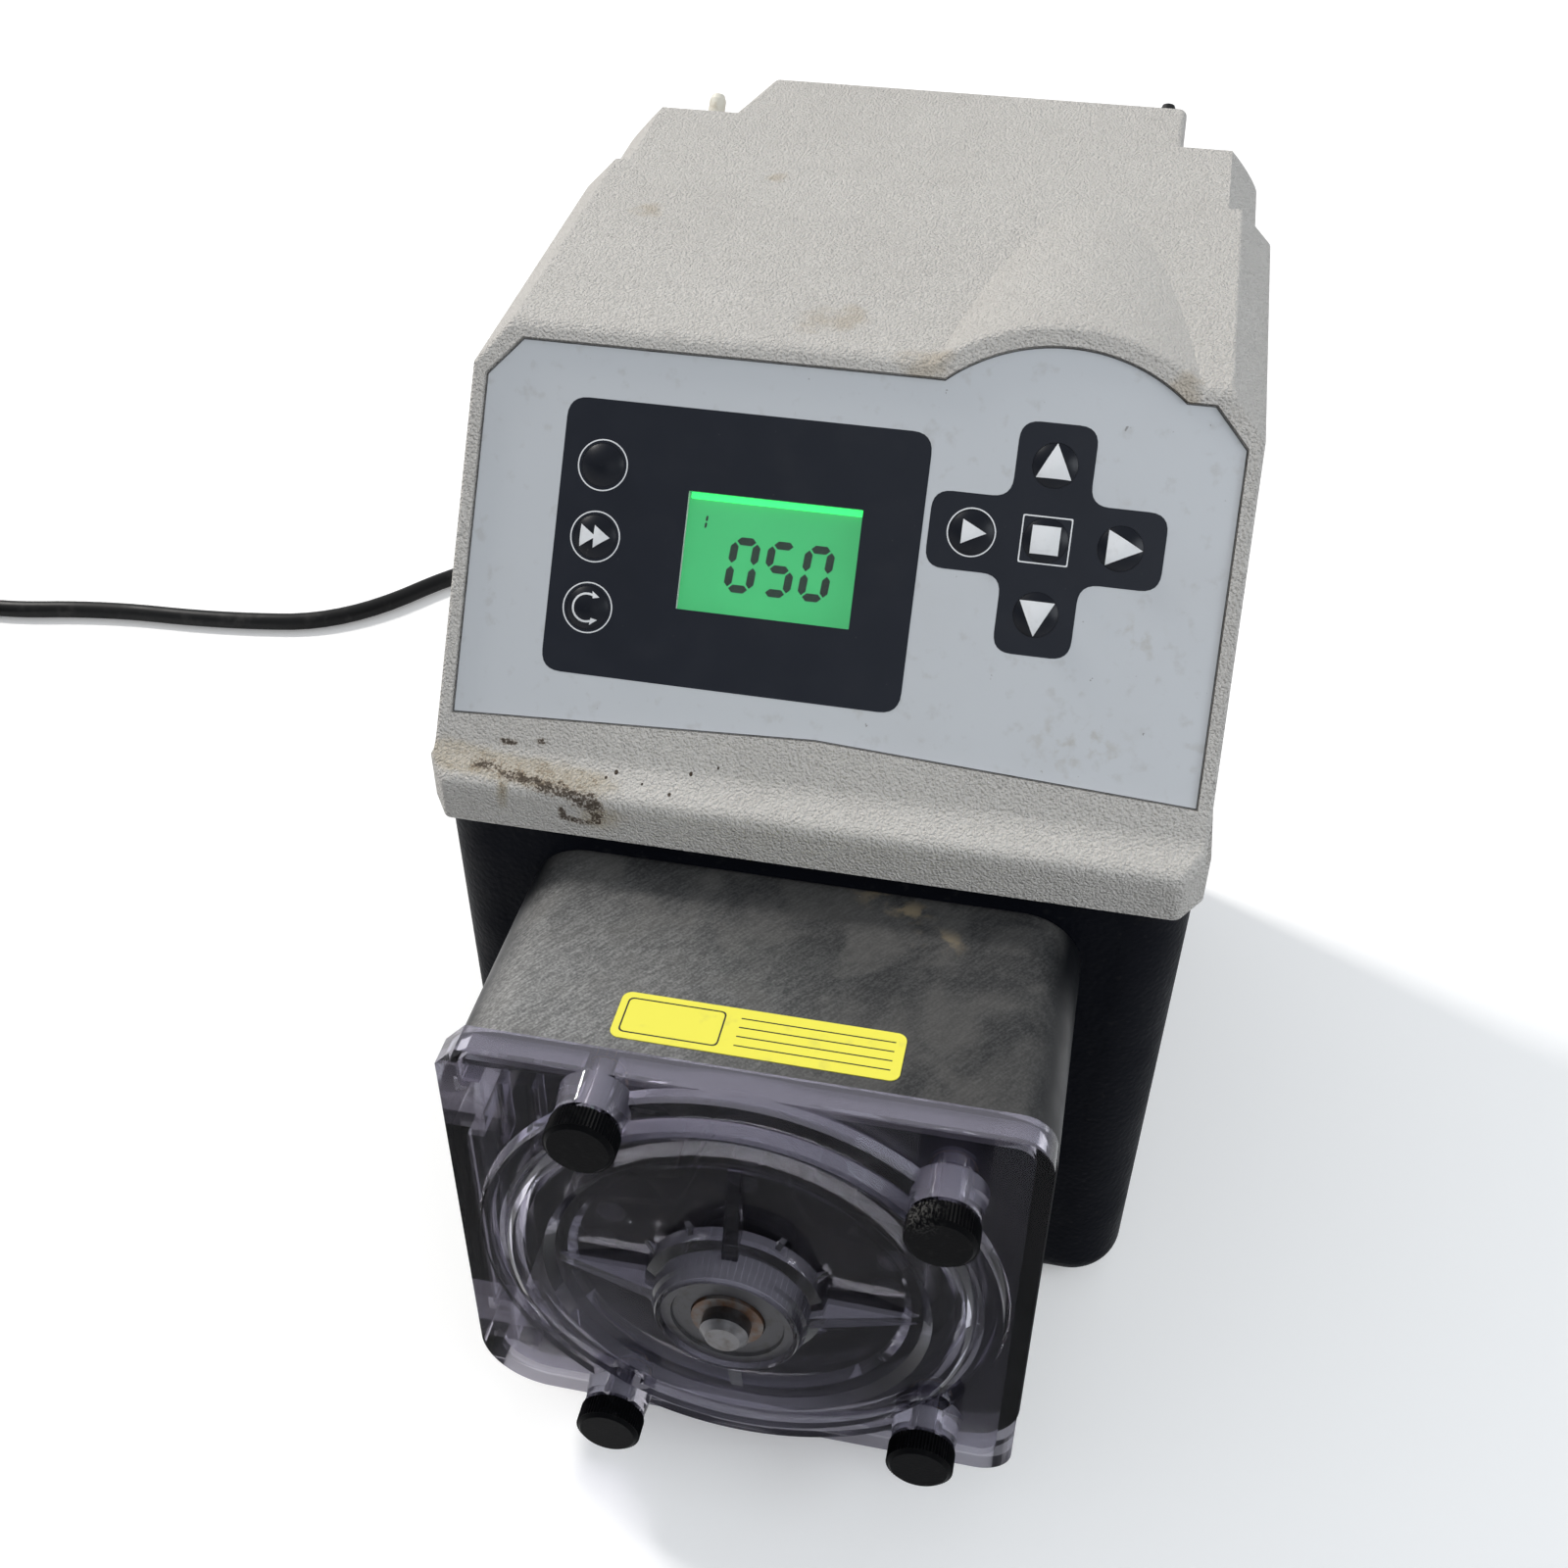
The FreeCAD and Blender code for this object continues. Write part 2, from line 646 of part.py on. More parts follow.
def lip_corner_edges(shape):
    """The four upright edges at the lip's two front corners."""
    low = SEAM_Z + 0.1
    return edges_where(shape, lambda b: b.ZLength > 5 and b.XLength + b.YLength < 0.1
                       and b.ZMin < low and b.YMax < HOUSING_Y + LIP_CHAMFER + 4)


def rim_edges(shape):
    """The two long edges between the control panel's rim and the side walls."""
    return edges_where(shape, lambda b: b.ZMin > SEAM_Z + LIP_H + 1 and b.XLength < 0.1
                       and b.YLength > 40 and b.ZLength > 60 and b.YMax < RIDGE_Y - 40)


def chamfer_edges(shape):
    """The long edges of the top's side chamfers, in front of the ridge."""
    return edges_where(shape, lambda b: b.XLength < 0.1 and b.YLength > 80 and b.ZMin > SEAM_Z + 60
                       and b.YMax < RIDGE_Y + 1)


def key_hole_cuts(radius, n0, n1):
    return [Part.makeCylinder(radius, n1 - n0, FreeCAD.Vector(u, v, n0))
            for u, v in key_places().values()]


def window_block(grow, n0, n1):
    u0, u1, v0, v1 = WINDOW
    return Part.makeBox(u1 - u0 + 2 * grow, v1 - v0 + 2 * grow, n1 - n0,
                        FreeCAD.Vector(u0 - grow, v0 - grow, n0))


def lip_corner_trims():
    """Upright cuts that chamfer the lip's front corners."""
    trims = []
    front = HOUSING_Y - LIP_PROUD
    for side in (-1, 1):
        corners = [(side * (LIP_HALF - LIP_CHAMFER), front - 1, 0), (side * (LIP_HALF + 1), front - 1, 0),
                   (side * (LIP_HALF + 1), front + LIP_CHAMFER + 4, 0)]
        trims.append(prism(corners, "xy", SEAM_Z - 1, SEAM_Z + LIP_H + LEDGE_RISE + 20))
    return trims


def rear_corner_trims():
    """What rounds the two upright corners at the rear, over the lip."""
    trims = []
    for side in (-1, 1):
        x = side * (HALF_W - RIDGE_STEP - REAR_CORNER)
        y = REAR_Y - REAR_CORNER
        x0, x1 = sorted((x, x + side * 2 * REAR_CORNER))
        corner = box(x0, x1, y, y + 2 * REAR_CORNER, SEAM_Z + LIP_H, RIDGE_Z + 60)
        trims.append(corner.cut(rod_z(x, y, REAR_CORNER, SEAM_Z, RIDGE_Z + 61)))
    return trims


def upper_housing():
    outer = upper_form(0).cut(lip_corner_trims()).removeSplitter()
    for radius, chosen in ((LIP_CORNER_ROUND, lip_corner_edges), (RIM_ROUND, rim_edges),
                           (TOP_ROUND, chamfer_edges)):
        outer = outer.makeFillet(radius, chosen(outer)).removeSplitter()
    outer = outer.cut(rear_corner_trims())
    inner = upper_form(WALL)
    pillars = [rod_z(x, y, PILLAR_R - 0.5, SEAM_Z, SEAM_Z + 24).common(outer)
               for x, y in pillar_places()]
    shell = outer.cut(inner).fuse(pillars + board_posts())
    pocket = Part.Face(overlay_outline(PART_GAP, -OVERLAY)).extrude(FreeCAD.Vector(0, 0, 5))
    cuts = [on_panel(pocket)]
    cuts += [on_panel(hole) for hole in key_hole_cuts(KEY_R + KEY_GAP, -WALL - 3, 2)]
    cuts.append(on_panel(window_block(0.2, -WALL - 4, 2)))
    cuts.append(on_panel(window_block(LENS_LAP + 0.1, -OVERLAY - WINDOW_T, 2)))
    cuts += [rod_z(x, y, SCREW_R + RUN_GAP, SEAM_Z - 1, SEAM_Z + 16) for x, y in pillar_places()]
    cuts += [socket_bore(x, y) for x, y in plug_places()]
    return shell.cut(cuts).removeSplitter()


# Control panel pieces

def front_overlay():
    sheet = Part.Face(overlay_outline(0, -OVERLAY)).extrude(FreeCAD.Vector(0, 0, OVERLAY))
    cuts = key_hole_cuts(KEY_R + KEY_GAP, -2, 2)
    cuts.append(window_block(0, -2, 2))
    return on_panel(sheet.cut(cuts))


def display_window():
    return on_panel(window_block(LENS_LAP, -OVERLAY - WINDOW_T, -OVERLAY))


def display_module():
    """A backlight frame with the liquid crystal glass in front of it."""
    front = -WALL - MODULE_GAP
    frame = window_block(MODULE_LAP, -BOARD_DEPTH + BOARD_T, front)
    well = window_block(GLASS_LAP + 0.1, front - GLASS_T - 0.2, front + 1)
    return on_panel(frame.cut(well))


def display_glass():
    front = -WALL - MODULE_GAP - 0.2
    return on_panel(window_block(GLASS_LAP, front - GLASS_T, front))


def button(place):
    """A domed key with a stem down to its switch and a flange that keeps it in."""
    u, v = place
    dome_r = (KEY_R ** 2 + KEY_DOME ** 2) / (2 * KEY_DOME)
    ball = Part.makeSphere(dome_r, FreeCAD.Vector(u, v, KEY_DOME - dome_r))
    cap = ball.common(Part.makeCylinder(KEY_R, KEY_DOME + 1, FreeCAD.Vector(u, v, 0)))
    body = Part.makeCylinder(KEY_R, WALL + OVERLAY + 1.5, FreeCAD.Vector(u, v, -WALL - OVERLAY - 1.5))
    flange_top = -WALL + RIM_PROUD - PART_GAP
    flange = Part.makeCylinder(KEY_R + 1.2, 1.0, FreeCAD.Vector(u, v, flange_top - 1.0))
    stem_foot = -BOARD_DEPTH + BOARD_T + 3.5 + KEY_TRAVEL + 0.1
    stem = Part.makeCylinder(2.0, -stem_foot, FreeCAD.Vector(u, v, stem_foot))
    return on_panel(joined([cap, body, flange, stem]))


def control_board():
    """The circuit board behind the panel, carrying the display and the switches."""
    corners = rectangle(-BOARD_HALF, BOARD_HALF, BOARD_FOOT, BOARD_HEAD, 3)
    return on_panel(prism(corners, "xy", -BOARD_DEPTH, -BOARD_DEPTH + BOARD_T))


def tact_switches():
    switches = []
    base = -BOARD_DEPTH + BOARD_T
    side, height, cap_r, cap_h = SWITCH
    for u, v in key_places().values():
        case = Part.makeBox(side, side, height, FreeCAD.Vector(u - side / 2, v - side / 2, base))
        cap = Part.makeCylinder(cap_r, cap_h, FreeCAD.Vector(u, v, base + height - 0.2))
        switches.append(case.fuse(cap))
    return on_panel(Part.makeCompound(switches))


def board_posts():
    """Posts moulded behind the panel, which the circuit board is screwed on."""
    foot = -BOARD_DEPTH + BOARD_T
    return [on_panel(Part.makeCylinder(3.2, -foot - OVERLAY - 0.6, FreeCAD.Vector(u, v, foot)))
            for u in (BOARD_POST - BOARD_HALF, BOARD_HALF - BOARD_POST)
            for v in (BOARD_FOOT + BOARD_POST, BOARD_HEAD - BOARD_POST)]


# Gear motor

def gear(module, teeth, x, z, y0, y1, turn, bore):
    """A spur gear along Y with involute flanks; turn places a tooth's middle, in degrees."""
    pitch_r = module * teeth / 2
    base_r = pitch_r * math.cos(math.radians(PRESSURE_ANGLE))
    tip_r = pitch_r + ADDENDUM * module
    root_r = pitch_r - DEDENDUM * module

    def involute(radius):
        cosine = min(1.0, base_r / radius)
        angle = math.acos(cosine)
        return math.tan(angle) - angle

    half_tooth = math.pi / (2 * teeth) - BACKLASH / (2 * pitch_r)
    flank_start = max(root_r, base_r)
    radii = [root_r, flank_start + 0.02, (flank_start + tip_r) / 2, tip_r]
    corners = []
    for k in range(teeth):
        middle = math.radians(turn) + 2 * math.pi * k / teeth
        for side in (-1, 1):
            for radius in (radii if side < 0 else radii[::-1]):
                lean = half_tooth + involute(pitch_r) - involute(max(radius, base_r))
                if radius < base_r:
                    lean -= ROOT_RELIEF * module / root_r
                angle = middle + side * lean
                corners.append((x + radius * math.cos(angle), z + radius * math.sin(angle), 0))
    blank = prism(corners, "xz", y0, y1)
    if bore > 0:
        blank = blank.cut(rod_y(x, z, bore, y0 - 1, y1 + 1))
    return blank


CASE_FRONT_Y = HOUSING_Y + WALL + BRACKET
CASE_REAR_Y = CASE_FRONT_Y + CASE_DEPTH
LID_Y = CASE_REAR_Y - CASE_WALL
OUTPUT_GEAR_Y = CASE_FRONT_Y + OUTPUT_BEARING_W + 2.0
OUTPUT_GEAR_W = 10.0
FIRST_GEAR_Y = OUTPUT_GEAR_Y + OUTPUT_GEAR_W + 2.0
FIRST_GEAR_W = 7.0


def case_outline(inset):
    return rectangle(-CASE_HALF_W + inset, CASE_HALF_W - inset, AXIS_Z - CASE_BOTTOM + inset,
                     AXIS_Z + CASE_TOP - inset, 8 - inset)


def motor_bracket():
    corners = rectangle(-BRACKET_HALF_W, BRACKET_HALF_W, AXIS_Z - CASE_BOTTOM,
                        AXIS_Z + CASE_TOP + BRACKET_TOP, 6)
    plate = prism(corners, "xz", HOUSING_Y + WALL, HOUSING_Y + WALL + BRACKET)
    cuts = [rod_y(0, AXIS_Z, OUTPUT_BEARING_R + 3, HOUSING_Y, CASE_FRONT_Y + 1)]
    cuts += [rod_y(x, z, HEAD_BOLT_R, HOUSING_Y, CASE_FRONT_Y + 1) for x, z in head_bolt_places()]
    cuts += [rod_y(x, z, 2.0, HOUSING_Y, CASE_FRONT_Y + 1) for x, z in case_screw_places()]
    return plate.cut(cuts)


def case_screw_places():
    x = CASE_HALF_W - 6
    return [(side * x, z) for side in (-1, 1) for z in (AXIS_Z + CASE_TOP - 6, AXIS_Z - CASE_BOTTOM + 6)]


def gearbox_case():
    outer = prism(case_outline(0), "xz", CASE_FRONT_Y, LID_Y)
    inner = prism(case_outline(CASE_WALL), "xz", CASE_FRONT_Y + CASE_WALL, LID_Y + 1)
    posts = [rod_y(x, z, 5.5, CASE_FRONT_Y, LID_Y) for x, z in case_screw_places()]
    seat = rod_y(0, AXIS_Z, OUTPUT_BEARING_R + 3.5, CASE_FRONT_Y, CASE_FRONT_Y + OUTPUT_BEARING_W)
    shell = outer.cut(inner).fuse([post.common(outer) for post in posts] + [seat])
    x, z = middle_gear_place()
    cuts = [rod_y(0, AXIS_Z, OUTPUT_BEARING_R, CASE_FRONT_Y - 1, CASE_FRONT_Y + OUTPUT_BEARING_W + 1)]
    cuts += [rod_y(a, b, 2.2, CASE_FRONT_Y - 1, LID_Y + 1) for a, b in case_screw_places()]
    boss = rod_y(x, z, 7, CASE_FRONT_Y, OUTPUT_GEAR_Y - 0.6)
    cuts.append(rod_y(x, z, 4.0, CASE_FRONT_Y + 1.5, OUTPUT_GEAR_Y + 1))
    for a, b in head_bolt_places():
        cuts.append(rod_y(a, b, HEAD_BOLT_R + 0.5, CASE_FRONT_Y - 1, CASE_FRONT_Y + CASE_WALL - 1))
    return shell.fuse(boss).cut(cuts).removeSplitter()


def gearbox_lid():
    plate = prism(case_outline(0), "xz", LID_Y, CASE_REAR_Y)
    x, z = middle_gear_place()
    plate = plate.fuse([rod_y(x, z, 7, FIRST_GEAR_Y + FIRST_GEAR_W + 0.6, LID_Y + 1),
                        rod_y(0, AXIS_Z, OUTPUT_BEARING_R + 3, LID_Y - OUTPUT_BEARING_W + 3, LID_Y + 1)])
    mx, mz = motor_place()
    cuts = [rod_y(x, z, 4.0, LID_Y - 12, CASE_REAR_Y - 1.5),
            rod_y(0, AXIS_Z, OUTPUT_BEARING_R, LID_Y - 10, LID_Y - 0.5 + 3),
            rod_y(mx, mz, 9.0, LID_Y - 1, CASE_REAR_Y + 1)]
    cuts += [rod_y(a, b, 2.2, LID_Y - 1, CASE_REAR_Y + 1) for a, b in case_screw_places()]
    return plate.cut(cuts).removeSplitter()


def gearbox_screws():
    screws = []
    for x, z in case_screw_places():
        head = rod_y(x, z, 3.6, CASE_REAR_Y, CASE_REAR_Y + 3)
        shank = rod_y(x, z, 1.96, CASE_FRONT_Y - BRACKET, CASE_REAR_Y + 0.5)
        screws.append(head.fuse(shank))
    return Part.makeCompound(screws)


def shaft_bearings():
    """The two ball bearings of the output shaft, each drawn as a ring with its shields."""
    rings = []
    for y0 in (CASE_FRONT_Y, LID_Y + 2.5 - OUTPUT_BEARING_W):
        outer = rod_y(0, AXIS_Z, OUTPUT_BEARING_R, y0, y0 + OUTPUT_BEARING_W)
        rings.append(outer.cut(rod_y(0, AXIS_Z, SHAFT_R + RUN_GAP, y0 - 1, y0 + OUTPUT_BEARING_W + 1)))
    return Part.makeCompound(rings)


def output_gear():
    blank = gear(STAGE_TWO_MODULE, STAGE_TWO_TEETH[1], 0, AXIS_Z, OUTPUT_GEAR_Y,
                 OUTPUT_GEAR_Y + OUTPUT_GEAR_W, TRAIN_ANGLE, SHAFT_R)
    pocket = turned_y([(12, OUTPUT_GEAR_Y - 1), (26, OUTPUT_GEAR_Y - 1), (26, OUTPUT_GEAR_Y + 2.5),
                       (12, OUTPUT_GEAR_Y + 2.5)], 0, AXIS_Z)
    return blank.cut(pocket)


def middle_gear():
    """The compound gear: a large wheel driven by the motor, a small one on the same arbor."""
    x, z = middle_gear_place()
    small_turn = TRAIN_ANGLE + 180 + 180.0 / STAGE_TWO_TEETH[0]
    small = gear(STAGE_TWO_MODULE, STAGE_TWO_TEETH[0], x, z, OUTPUT_GEAR_Y,
                 FIRST_GEAR_Y + 0.5, small_turn, 0)
    large = gear(STAGE_ONE_MODULE, STAGE_ONE_TEETH[1], x, z, FIRST_GEAR_Y,
                 FIRST_GEAR_Y + FIRST_GEAR_W, 180, 0)
    arbor = rod_y(x, z, 4.0 - RUN_GAP, CASE_FRONT_Y + 2, CASE_REAR_Y - 2)
    return joined([small, large, arbor])


def motor_pinion():
    x, z = motor_place()
    turn = 180.0 / STAGE_ONE_TEETH[0]
    teeth = gear(STAGE_ONE_MODULE, STAGE_ONE_TEETH[0], x, z, FIRST_GEAR_Y - 0.5,
                 FIRST_GEAR_Y + FIRST_GEAR_W + 1, turn, 0)
    shaft = rod_y(x, z, 3.0, FIRST_GEAR_Y, CASE_REAR_Y + 10)
    return joined([teeth, shaft])


def motor_can():
    x, z = motor_place()
    rear = CASE_REAR_Y + MOTOR_LEN
    can = turned_y([(0, CASE_REAR_Y), (MOTOR_R - 2, CASE_REAR_Y), (MOTOR_R, CASE_REAR_Y + 2),
                    (MOTOR_R, rear - 3), (MOTOR_R - 3, rear), (0, rear)], x, z)
    return can.cut(rod_y(x, z, 3.0 + RUN_GAP, CASE_REAR_Y - 1, CASE_REAR_Y + 11))


def motor_end_cap():
    x, z = motor_place()
    y = CASE_REAR_Y + MOTOR_LEN
    edge = MOTOR_R - 5
    cap = turned_y([(0, y), (edge, y), (edge, y + CAP_LEN - 3), (edge - 4, y + CAP_LEN), (0, y + CAP_LEN)],
                   x, z)
    slots = []
    for k in range(8):
        angle = math.radians(45 * k)
        a = x + CAP_SLOT_RING * math.cos(angle)
        b = z + CAP_SLOT_RING * math.sin(angle)
        slots.append(rod_y(a, b, 3, y + 6, y + CAP_LEN + 1))
    return cap.cut(slots)


def power_board():
    """The supply board on posts over the housing's floor, behind the motor."""
    z = BASE_Z + WALL + SUPPLY_LIFT
    y0 = CASE_REAR_Y + MOTOR_LEN + SUPPLY_GAP
    y1 = REAR_Y - WALL - 6
    half = HALF_W - 33.0
    board = box(-half, half, y0, y1, z, z + BOARD_T)
    posts = [rod_z(x, y, 3, BASE_Z + WALL, z) for x in (8 - half, half - 8) for y in (y0 + 5, y1 - 5)]
    return board.fuse(posts)


def drive_shaft():
    rear = LID_Y + 2.0
    tip = FACE_Y - SHAFT_TIP
    chamfer = SHAFT_R - SHAFT_NOSE_R
    return turned_y([(0, tip), (SHAFT_NOSE_R, tip), (SHAFT_R, tip + chamfer), (SHAFT_R, rear), (0, rear)],
                    0, AXIS_Z)


# Pump head

def port_places():
    return [AXIS_Z + PORT_OFFSET, AXIS_Z - PORT_OFFSET]


def race_outline():
    """The tube race: half a circle on the right, straight runs to the ports on the left."""
    return [(-CHANNEL_X, AXIS_Z - RACE_R, 8), (0, AXIS_Z - RACE_R, 0), (0, AXIS_Z + RACE_R, 0),
            (-CHANNEL_X, AXIS_Z + RACE_R, 8)]


def pump_head():
    block = prism(rectangle(-HEAD_HALF_W, HEAD_HALF_W, AXIS_Z - HEAD_HALF_H, AXIS_Z + HEAD_HALF_H,
                            HEAD_CORNER), "xz", HEAD_Y, HOUSING_Y)
    race = rod_y(0, AXIS_Z, RACE_R, HEAD_Y - 1, RACE_FLOOR_Y)
    race = race.fuse(prism(race_outline(), "xz", HEAD_Y - 1, RACE_FLOOR_Y))
    inside = rectangle(-HEAD_HALF_W + HEAD_SKIN, HEAD_HALF_W - HEAD_SKIN, AXIS_Z - HEAD_HALF_H + HEAD_SKIN,
                       AXIS_Z + HEAD_HALF_H - HEAD_SKIN, HEAD_CORNER - HEAD_SKIN)
    hollow = prism(inside, "xz", RACE_FLOOR_Y + HEAD_FLOOR, HOUSING_Y + 1)
    bosses = [rod_y(0, AXIS_Z, AXLE_BOSS_R, RACE_FLOOR_Y, HOUSING_Y)]
    bosses += [rod_y(x, z, BOLT_BOSS_R, RACE_FLOOR_Y, HOUSING_Y) for x, z in head_bolt_places()]
    ribs = [box(-HEAD_HALF_W + 2, HEAD_HALF_W - 2, RACE_FLOOR_Y, HOUSING_Y, AXIS_Z - 1.5, AXIS_Z + 1.5),
            box(-1.5, 1.5, RACE_FLOOR_Y, HOUSING_Y, AXIS_Z - HEAD_HALF_H + 2, AXIS_Z + HEAD_HALF_H - 2)]
    body = block.cut([race, hollow]).fuse(bosses + ribs)
    cuts = []
    for z in port_places():
        port_y = HEAD_Y + PORT_BACK
        cuts.append(Part.makeCylinder(PORT_R, HEAD_HALF_W - CHANNEL_X + 8,
                                      FreeCAD.Vector(-HEAD_HALF_W - 2, port_y, z), FreeCAD.Vector(1, 0, 0)))
        cuts.append(box(-HEAD_HALF_W - 2, -CHANNEL_X + 6, HEAD_Y - 1, port_y, z - PORT_R, z + PORT_R))
    cuts.append(rod_y(0, AXIS_Z, SHAFT_R + 0.6, RACE_FLOOR_Y - 1, HOUSING_Y + 1))
    cuts.append(rod_y(0, AXIS_Z, SEAL_R, RACE_FLOOR_Y - 1, RACE_FLOOR_Y + 7))
    for x, z in head_bolt_places():
        cuts.append(rod_y(x, z, HEAD_BOLT_R + 0.2, RACE_FLOOR_Y - 1, HOUSING_Y + 1))
        cuts.append(rod_y(x, z, BOLT_HEAD_R + PART_GAP, RACE_FLOOR_Y - 1, RACE_FLOOR_Y + BOLT_HEAD_H + 0.2))
    for x, z in cover_screw_places():
        cuts.append(rod_y(x, z, INSERT_R, HEAD_Y - 1, HEAD_Y + INSERT_LEN))
        cuts.append(rod_y(x, z, STUD_R + 0.2, HEAD_Y - 1, HEAD_Y + INSERT_LEN + 4))
    for x, z in sensor_places():
        cuts.append(rod_y(x, z, PIN_R, RACE_FLOOR_Y - 1, RACE_FLOOR_Y + HEAD_FLOOR + 1))
    return body.cut(cuts).removeSplitter()


def sensor_places():
    z = AXIS_Z - RACE_R + 7
    return [(-PIN_SPACING / 2, z), (PIN_SPACING / 2, z)]


def leak_sensor_pins():
    pins = []
    for x, z in sensor_places():
        y0 = RACE_FLOOR_Y - ROTOR_BACK + 1.6
        shank = rod_y(x, z, PIN_R, y0 + 0.8, RACE_FLOOR_Y + HEAD_FLOOR + 5)
        tip = turned_y([(0, y0), (PIN_R - 0.6, y0), (PIN_R, y0 + 0.8), (0, y0 + 0.8)], x, z)
        nut = rod_y(x, z, 3.2, RACE_FLOOR_Y + HEAD_FLOOR, RACE_FLOOR_Y + HEAD_FLOOR + 2)
        pins.append(joined([shank, tip, nut]))
    return Part.makeCompound(pins)


def head_screws():
    screws = []
    for x, z in head_bolt_places():
        top = RACE_FLOOR_Y + 0.2
        head = rod_y(x, z, BOLT_HEAD_R, top, top + BOLT_HEAD_H)
        shank = rod_y(x, z, HEAD_BOLT_R - RUN_GAP, top + BOLT_HEAD_H - 0.2, CASE_FRONT_Y + 1)
        socket = prism(hexagon(x, z, BOLT_KEY_R), "xz", top - 1, top + 2.4)
        screws.append(head.fuse(shank).cut(socket))
    return Part.makeCompound(screws)


def thread_inserts():
    inserts = []
    for x, z in cover_screw_places():
        sleeve = rod_y(x, z, INSERT_R, HEAD_Y, HEAD_Y + INSERT_LEN)
        bore = rod_y(x, z, STUD_R + RUN_GAP, HEAD_Y - 1, HEAD_Y + INSERT_LEN + 1)
        inserts.append(sleeve.cut(bore))
    return Part.makeCompound(inserts)


def shaft_seal():
    """A lip seal in the floor of the head."""
    y0 = RACE_FLOOR_Y
    inner = SHAFT_R + RUN_GAP
    return turned_y([(inner, y0 + 1.5), (inner, y0 + 3.0), (SEAL_R - 3.7, y0 + 4.5), (SEAL_R - 3.7, y0 + 7),
                     (SEAL_R, y0 + 7), (SEAL_R, y0 + 0.2), (SEAL_R - 3.2, y0 + 0.2)], 0, AXIS_Z)


def head_label():
    """A plain yellow marking plate on top of the head."""
    top = AXIS_Z + HEAD_HALF_H
    left, right, back, deep = LABEL
    y0 = FACE_Y + back
    return prism(rectangle(left, right, y0, y0 + deep, 2.5), "xy", top, top + LABEL_T)


# Clear cover

def cover_outline(inset):
    half = COVER_HALF_W - inset
    low = AXIS_Z - COVER_HALF_H + inset
    high = AXIS_Z + COVER_HALF_H - inset
    chamfer = 5.6 - 0.6 * inset
    return [(-half, low, 19 - inset), (half, low, 9.5 - inset), (half, high, 9.5 - inset),
            (-half + chamfer, high, 0), (-half, high - chamfer - 0.6, 0)]


def cover_profile(wall):
    """Half section of the pan and hub as (radius, y) corners, moved back by the wall."""
    y = FACE_Y + wall
    rise = y - PAN_RISE
    sink = rise + DISH_SINK
    hub = FACE_Y - HUB_RISE
    if wall == 0:
        return [(0, y + 1), (STEP_R, y + 1), (STEP_R, y - 0.2), (STEP_R - 1.6, y - STEP_RISE),
                (PAN_R + 1.2, y - STEP_RISE), (PAN_R, y - STEP_RISE + 0.6), (PAN_TOP_R + 0.8, rise + 0.8),
                (PAN_TOP_R - 0.6, rise), (DISH_R + 1.5, rise), (DISH_R - 1, sink), (HUB_BASE_R, sink),
                (HUB_BASE_R - 0.6, rise - 1.4), (HUB_R + 0.4, rise - 2.6), (HUB_R, hub + 3.4),
                (HUB_RIM_R + 0.6, hub + 2.4), (HUB_RIM_R, hub + 0.4), (HUB_RIM_R - 0.4, hub), (0, hub)]
    return [(0, y + 8), (STEP_R - wall, y + 8), (STEP_R - wall, y - STEP_RISE),
            (PAN_R - wall, y - STEP_RISE), (PAN_TOP_R - wall, rise), (DISH_R - 1 - wall, rise),
            (DISH_R - 3 - wall, sink), (INNER_RACE_R + 3.4, sink), (INNER_RACE_R + 3.4, sink - 4),
            (0, sink - 4)]


def cover_fins():
    """Four long tapered fins and four pairs of small gussets round the hub."""
    floor = FACE_Y - PAN_RISE + DISH_SINK + 0.5
    crest = FACE_Y - HUB_RISE + 4.5
    fins = []
    for k in range(4):
        long_side = [(HUB_R - 3, floor), (FIN_REACH, floor), (FIN_REACH, floor - 1.0),
                     (HUB_R - 3, crest)]
        fins.append(upright_web(long_side, FIN_THICK, FIN_END_THICK, 90 * k))
        for lean in (28, 62):
            short = [(HUB_R - 3, floor), (HUB_BASE_R + 3.5, floor), (HUB_R - 3, floor - 6.5)]
            fins.append(upright_web(short, GUSSET_THICK, GUSSET_THICK, 90 * k + lean))
    return fins


def upright_web(corners, thick, end_thick, turn):
    """A web standing on the cover: (radius, y) corners, thinner to its end, turned about the shaft."""
    points = [FreeCAD.Vector(radius, y, AXIS_Z - thick / 2) for radius, y in corners]
    web = Part.Face(Part.makePolygon(points + [points[0]])).extrude(FreeCAD.Vector(0, 0, thick))
    near = min(radius for radius, y in corners)
    far = max(radius for radius, y in corners)
    plan = [(near - 1, AXIS_Z - thick / 2, 0), (far + 1, AXIS_Z - end_thick / 2, 0),
            (far + 1, AXIS_Z + end_thick / 2, 0), (near - 1, AXIS_Z + thick / 2, 0)]
    web = web.common(prism(plan, "xz", FACE_Y - HUB_RISE, HEAD_Y))
    web.rotate(FreeCAD.Vector(0, 0, AXIS_Z), FreeCAD.Vector(0, 1, 0), turn)
    return web


